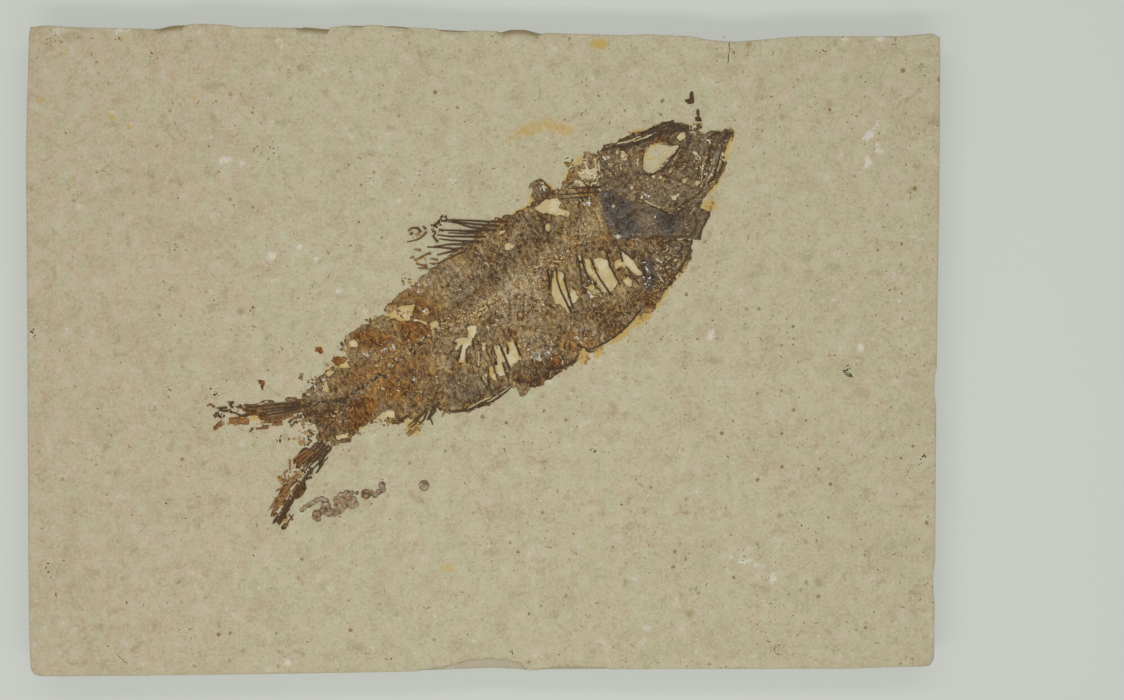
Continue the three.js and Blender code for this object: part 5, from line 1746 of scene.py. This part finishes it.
# Thin marks on the stone: a tone, then x and y by turns
STONE_DASHES = [
    (0.5, 730, 42, 729, 52, 728, 62), (0.2, 729.5, 43, 729.5, 46), (0.1, 511.5, 649, 513, 654),
    (0.1, 845.5, 366.2, 848, 365.5), (-0.3, 843, 370.5, 848, 368.5), (-0.3, 843, 371.4, 848, 369.4),
    (-0.4, 844, 372.6, 849, 372.6, 851, 373.6), (-0.4, 844.4, 373.6, 851.5, 374.6),
    (-0.4, 845, 374.6, 852, 375.6), (-0.4, 846, 375.5, 851, 376.4), (-0.3, 850, 375.5, 853.5, 377.2),
    (0.7, 118, 655, 127, 663), (0.4, 565, 159, 569, 157), (0.4, 251, 325, 256, 327),
]
# White crumbs of scale on the fish, partly painted highlights, as centre, spread, number and tone
SCALE_GLINTS = [
    (606, 158, 3, 2, 7, 0.8), (645, 197, 4, 2, 9, 0.9), (708, 141, 3, 2, 6, 0.8), (693, 132, 2, 2, 5, 0.9),
    (543, 184, 3, 2, 7, 0.9), (393, 347, 3, 3, 7, 0.6), (537, 358, 4, 3, 9, 0.6), (489, 327, 1, 1, 3, 0.9),
    (722, 156, 1, 4, 4, 0.7), (613, 206, 2, 2, 4, 0.6), (618, 236, 3, 2, 5, 0.5), (426, 311, 3, 2, 5, 0.4),
    (412, 380, 6, 3, 6, 0.5), (520, 300, 24, 26, 40, 0.4), (536, 348, 16, 12, 34, 0.5),
    (420, 284, 10, 8, 18, 0.5), (460, 282, 14, 12, 16, 0.3), (590, 290, 8, 16, 20, 0.4),
    (648, 276, 5, 14, 16, 0.5), (584, 338, 10, 8, 14, 0.3), (380, 352, 16, 8, 16, 0.5),
    (586, 202, 8, 6, 14, 0.4), (702, 170, 6, 12, 14, 0.5), (540, 190, 5, 5, 8, 0.5),
    (310, 390, 9, 6, 12, 0.3), (324, 384, 3, 5, 8, 0.5),
]


class FOSSIL_OT_specks(bpy.types.Operator):
    """Scatter the mineral specks and dashes on the stone, and the white crumbs of scale on the fish, partly
    painted highlights
    """

    bl_idname = "fossil.specks"
    bl_label = "Mineral marks"

    def execute(self, context):
        draw = np.random.RandomState(12)
        self.specks(context.scene.fossil_bone.speck_count, draw)
        self.dashes(context.scene.fossil_bone.dash_count, draw)
        return {"FINISHED"}

    @staticmethod
    def bare_places(count, draw):
        """Random pixels on the stone, clear of its edges and of the body"""
        points = draw.rand(count, 2) * (SPECK_AREA[1] - SPECK_AREA[0]) + SPECK_AREA[0]
        return points[edge_distance(on_face(points), top_loops("trunk")) < 0]

    def specks(self, count, draw):
        loose = [(x, y, 0, 0, 1, 0.3 + 0.8 * draw.rand()) for x, y in self.bare_places(count, draw)]
        shape = {"Flatness": 0.35, "Lumps": 1.6, "Stretch": 2.6}
        specks = strewn(DARK_SPECKS + loose, draw, FACE - 0.01, small=0.05, large=0.18)
        bead_piece("mineral_speck", 0.8, specks, shape)
        # White beads on the fish, partly crumbs of scale and partly painted highlights
        glints = strewn(SCALE_GLINTS, draw, FACE + 0.33, small=0.07, large=0.2)
        bead_piece("scale_glint", 0.8, glints, shape)

    def dashes(self, count, draw):
        paths = list(STONE_DASHES)
        for start in self.bare_places(count, draw):
            turn, reach = draw.rand() * math.tau, 1.5 + 3 * draw.rand()
            end = start + reach * np.array([math.cos(turn), math.sin(turn)])
            paths.append((0.5 + 0.5 * draw.rand(), *start, *end))
        source = path_source(paths, FACE, tip=0.06, root=0.11)
        rods = {"Material": rod_material("mineral_dash", 0.8), "Crook": 0.4 * MM, "Sides": 6}
        nodes_piece("mineral_dashes", rod_tree(), source, rods)


SPECK_AREA = np.array([(32, 36), (928, 662)], float)
# Sizes of the stage in metres, and the lamps' tilt
FLOOR_REACH = 1.5
LAMP_SIZE = (0.3, 0.05)
LAMP_DISTANCE = 0.12
LAMP_HEIGHT = 0.28
LAMP_TILT = math.radians(22)


class FOSSIL_OT_stage(bpy.types.Operator):
    """Set the floor, the lights and the camera straight above the slab"""

    bl_idname = "fossil.stage"
    bl_label = "Stage"

    def execute(self, context):
        stage = context.scene.fossil_stage
        self.floor(stage)
        self.lights(context.scene, stage)
        self.camera(context.scene, stage)
        context.scene.view_settings.view_transform = "Standard"
        return {"FINISHED"}

    @staticmethod
    def floor(stage):
        mesh = bpy.data.meshes.new("floor")
        corners = [(x * FLOOR_REACH, y * FLOOR_REACH, 0) for x, y in ((-1, -1), (1, -1), (1, 1), (-1, 1))]
        mesh.from_pydata(corners, [], [(0, 1, 2, 3)])
        material, wire, shader = new_material("pale_floor", 0.8)
        shade = wire.noise(wire.millimetres(), 60.0, 2.0)
        tint = np.array(stage.floor_tint)
        colour = wire.mix(shade, tuple(tint * 0.985), tuple(tint * 1.015))
        wire.link(colour, shader.inputs["Base Color"])
        shader.inputs["Emission Color"].default_value = (*tint, 1)
        shader.inputs["Emission Strength"].default_value = stage.floor_glow
        mesh.materials.append(material)
        floor = placed("floor", mesh)

    @staticmethod
    def lights(scene, stage):
        world = bpy.data.worlds.new("soft_sky")
        scene.world = world
        world.use_nodes = True
        background = world.node_tree.nodes["Background"]
        background.inputs["Color"].default_value = (1, 1, 1, 1)
        background.inputs["Strength"].default_value = stage.sky_strength
        for side, power in ((-1, stage.near_power), (1, stage.far_power)):
            lamp = bpy.data.lights.new("strip_lamp", "AREA")
            lamp.shape = "RECTANGLE"
            lamp.size, lamp.size_y = LAMP_SIZE
            lamp.energy = power
            holder = placed("strip_lamp", lamp)
            holder.location = (0.0, side * LAMP_DISTANCE, LAMP_HEIGHT)
            holder.rotation_euler = (-side * LAMP_TILT, 0, 0)

    @staticmethod
    def camera(scene, stage):
        lens = bpy.data.cameras.new("camera")
        lens.sensor_width = 36
        lens.lens = lens.sensor_width * (stage.camera_height - FACE * MM) / stage.view_width
        camera = placed("camera", lens)
        middle = on_face([(PHOTO_WIDTH / 2, PHOTO_HEIGHT / 2)])[0] * MM
        camera.location = (middle[0], middle[1], stage.camera_height)
        scene.camera = camera


PIECES = (
    "slab", "trunk", "head", "tail", "flakes", "backbone",
    "fin_rays", "ribs", "fibres", "droppings", "specks", "stage",
)


class FOSSIL_PT_pieces(bpy.types.Panel):
    """Buttons that make each piece of the fossil"""

    bl_label = "Fossil Fish Slab"
    bl_idname = "FOSSIL_PT_pieces"
    bl_space_type = "VIEW_3D"
    bl_region_type = "UI"
    bl_category = "Fossil"

    def draw(self, context):
        for name in PIECES:
            self.layout.operator(f"fossil.{name}")
        for settings in (context.scene.fossil_stone, context.scene.fossil_bone, context.scene.fossil_stage):
            box = self.layout.box()
            for name in settings.__annotations__:
                box.prop(settings, name)


SETTINGS = {
    "fossil_stone": FossilStoneSettings,
    "fossil_bone": FossilBoneSettings,
    "fossil_stage": FossilStageSettings,
}
CLASSES = (
    *SETTINGS.values(), FOSSIL_OT_slab, FOSSIL_OT_trunk, FOSSIL_OT_head, FOSSIL_OT_tail, FOSSIL_OT_flakes,
    FOSSIL_OT_backbone, FOSSIL_OT_fin_rays, FOSSIL_OT_ribs, FOSSIL_OT_fibres, FOSSIL_OT_droppings,
    FOSSIL_OT_specks, FOSSIL_OT_stage, FOSSIL_PT_pieces,
)


def register():
    for made in CLASSES:
        bpy.utils.register_class(made)
    for name, group in SETTINGS.items():
        setattr(bpy.types.Scene, name, PointerProperty(type=group))


def unregister():
    for name in SETTINGS:
        delattr(bpy.types.Scene, name)
    for made in reversed(CLASSES):
        bpy.utils.unregister_class(made)


def main():
    register()
    for name in PIECES:
        getattr(bpy.ops.fossil, name)()


if __name__ == "__main__":
    main()
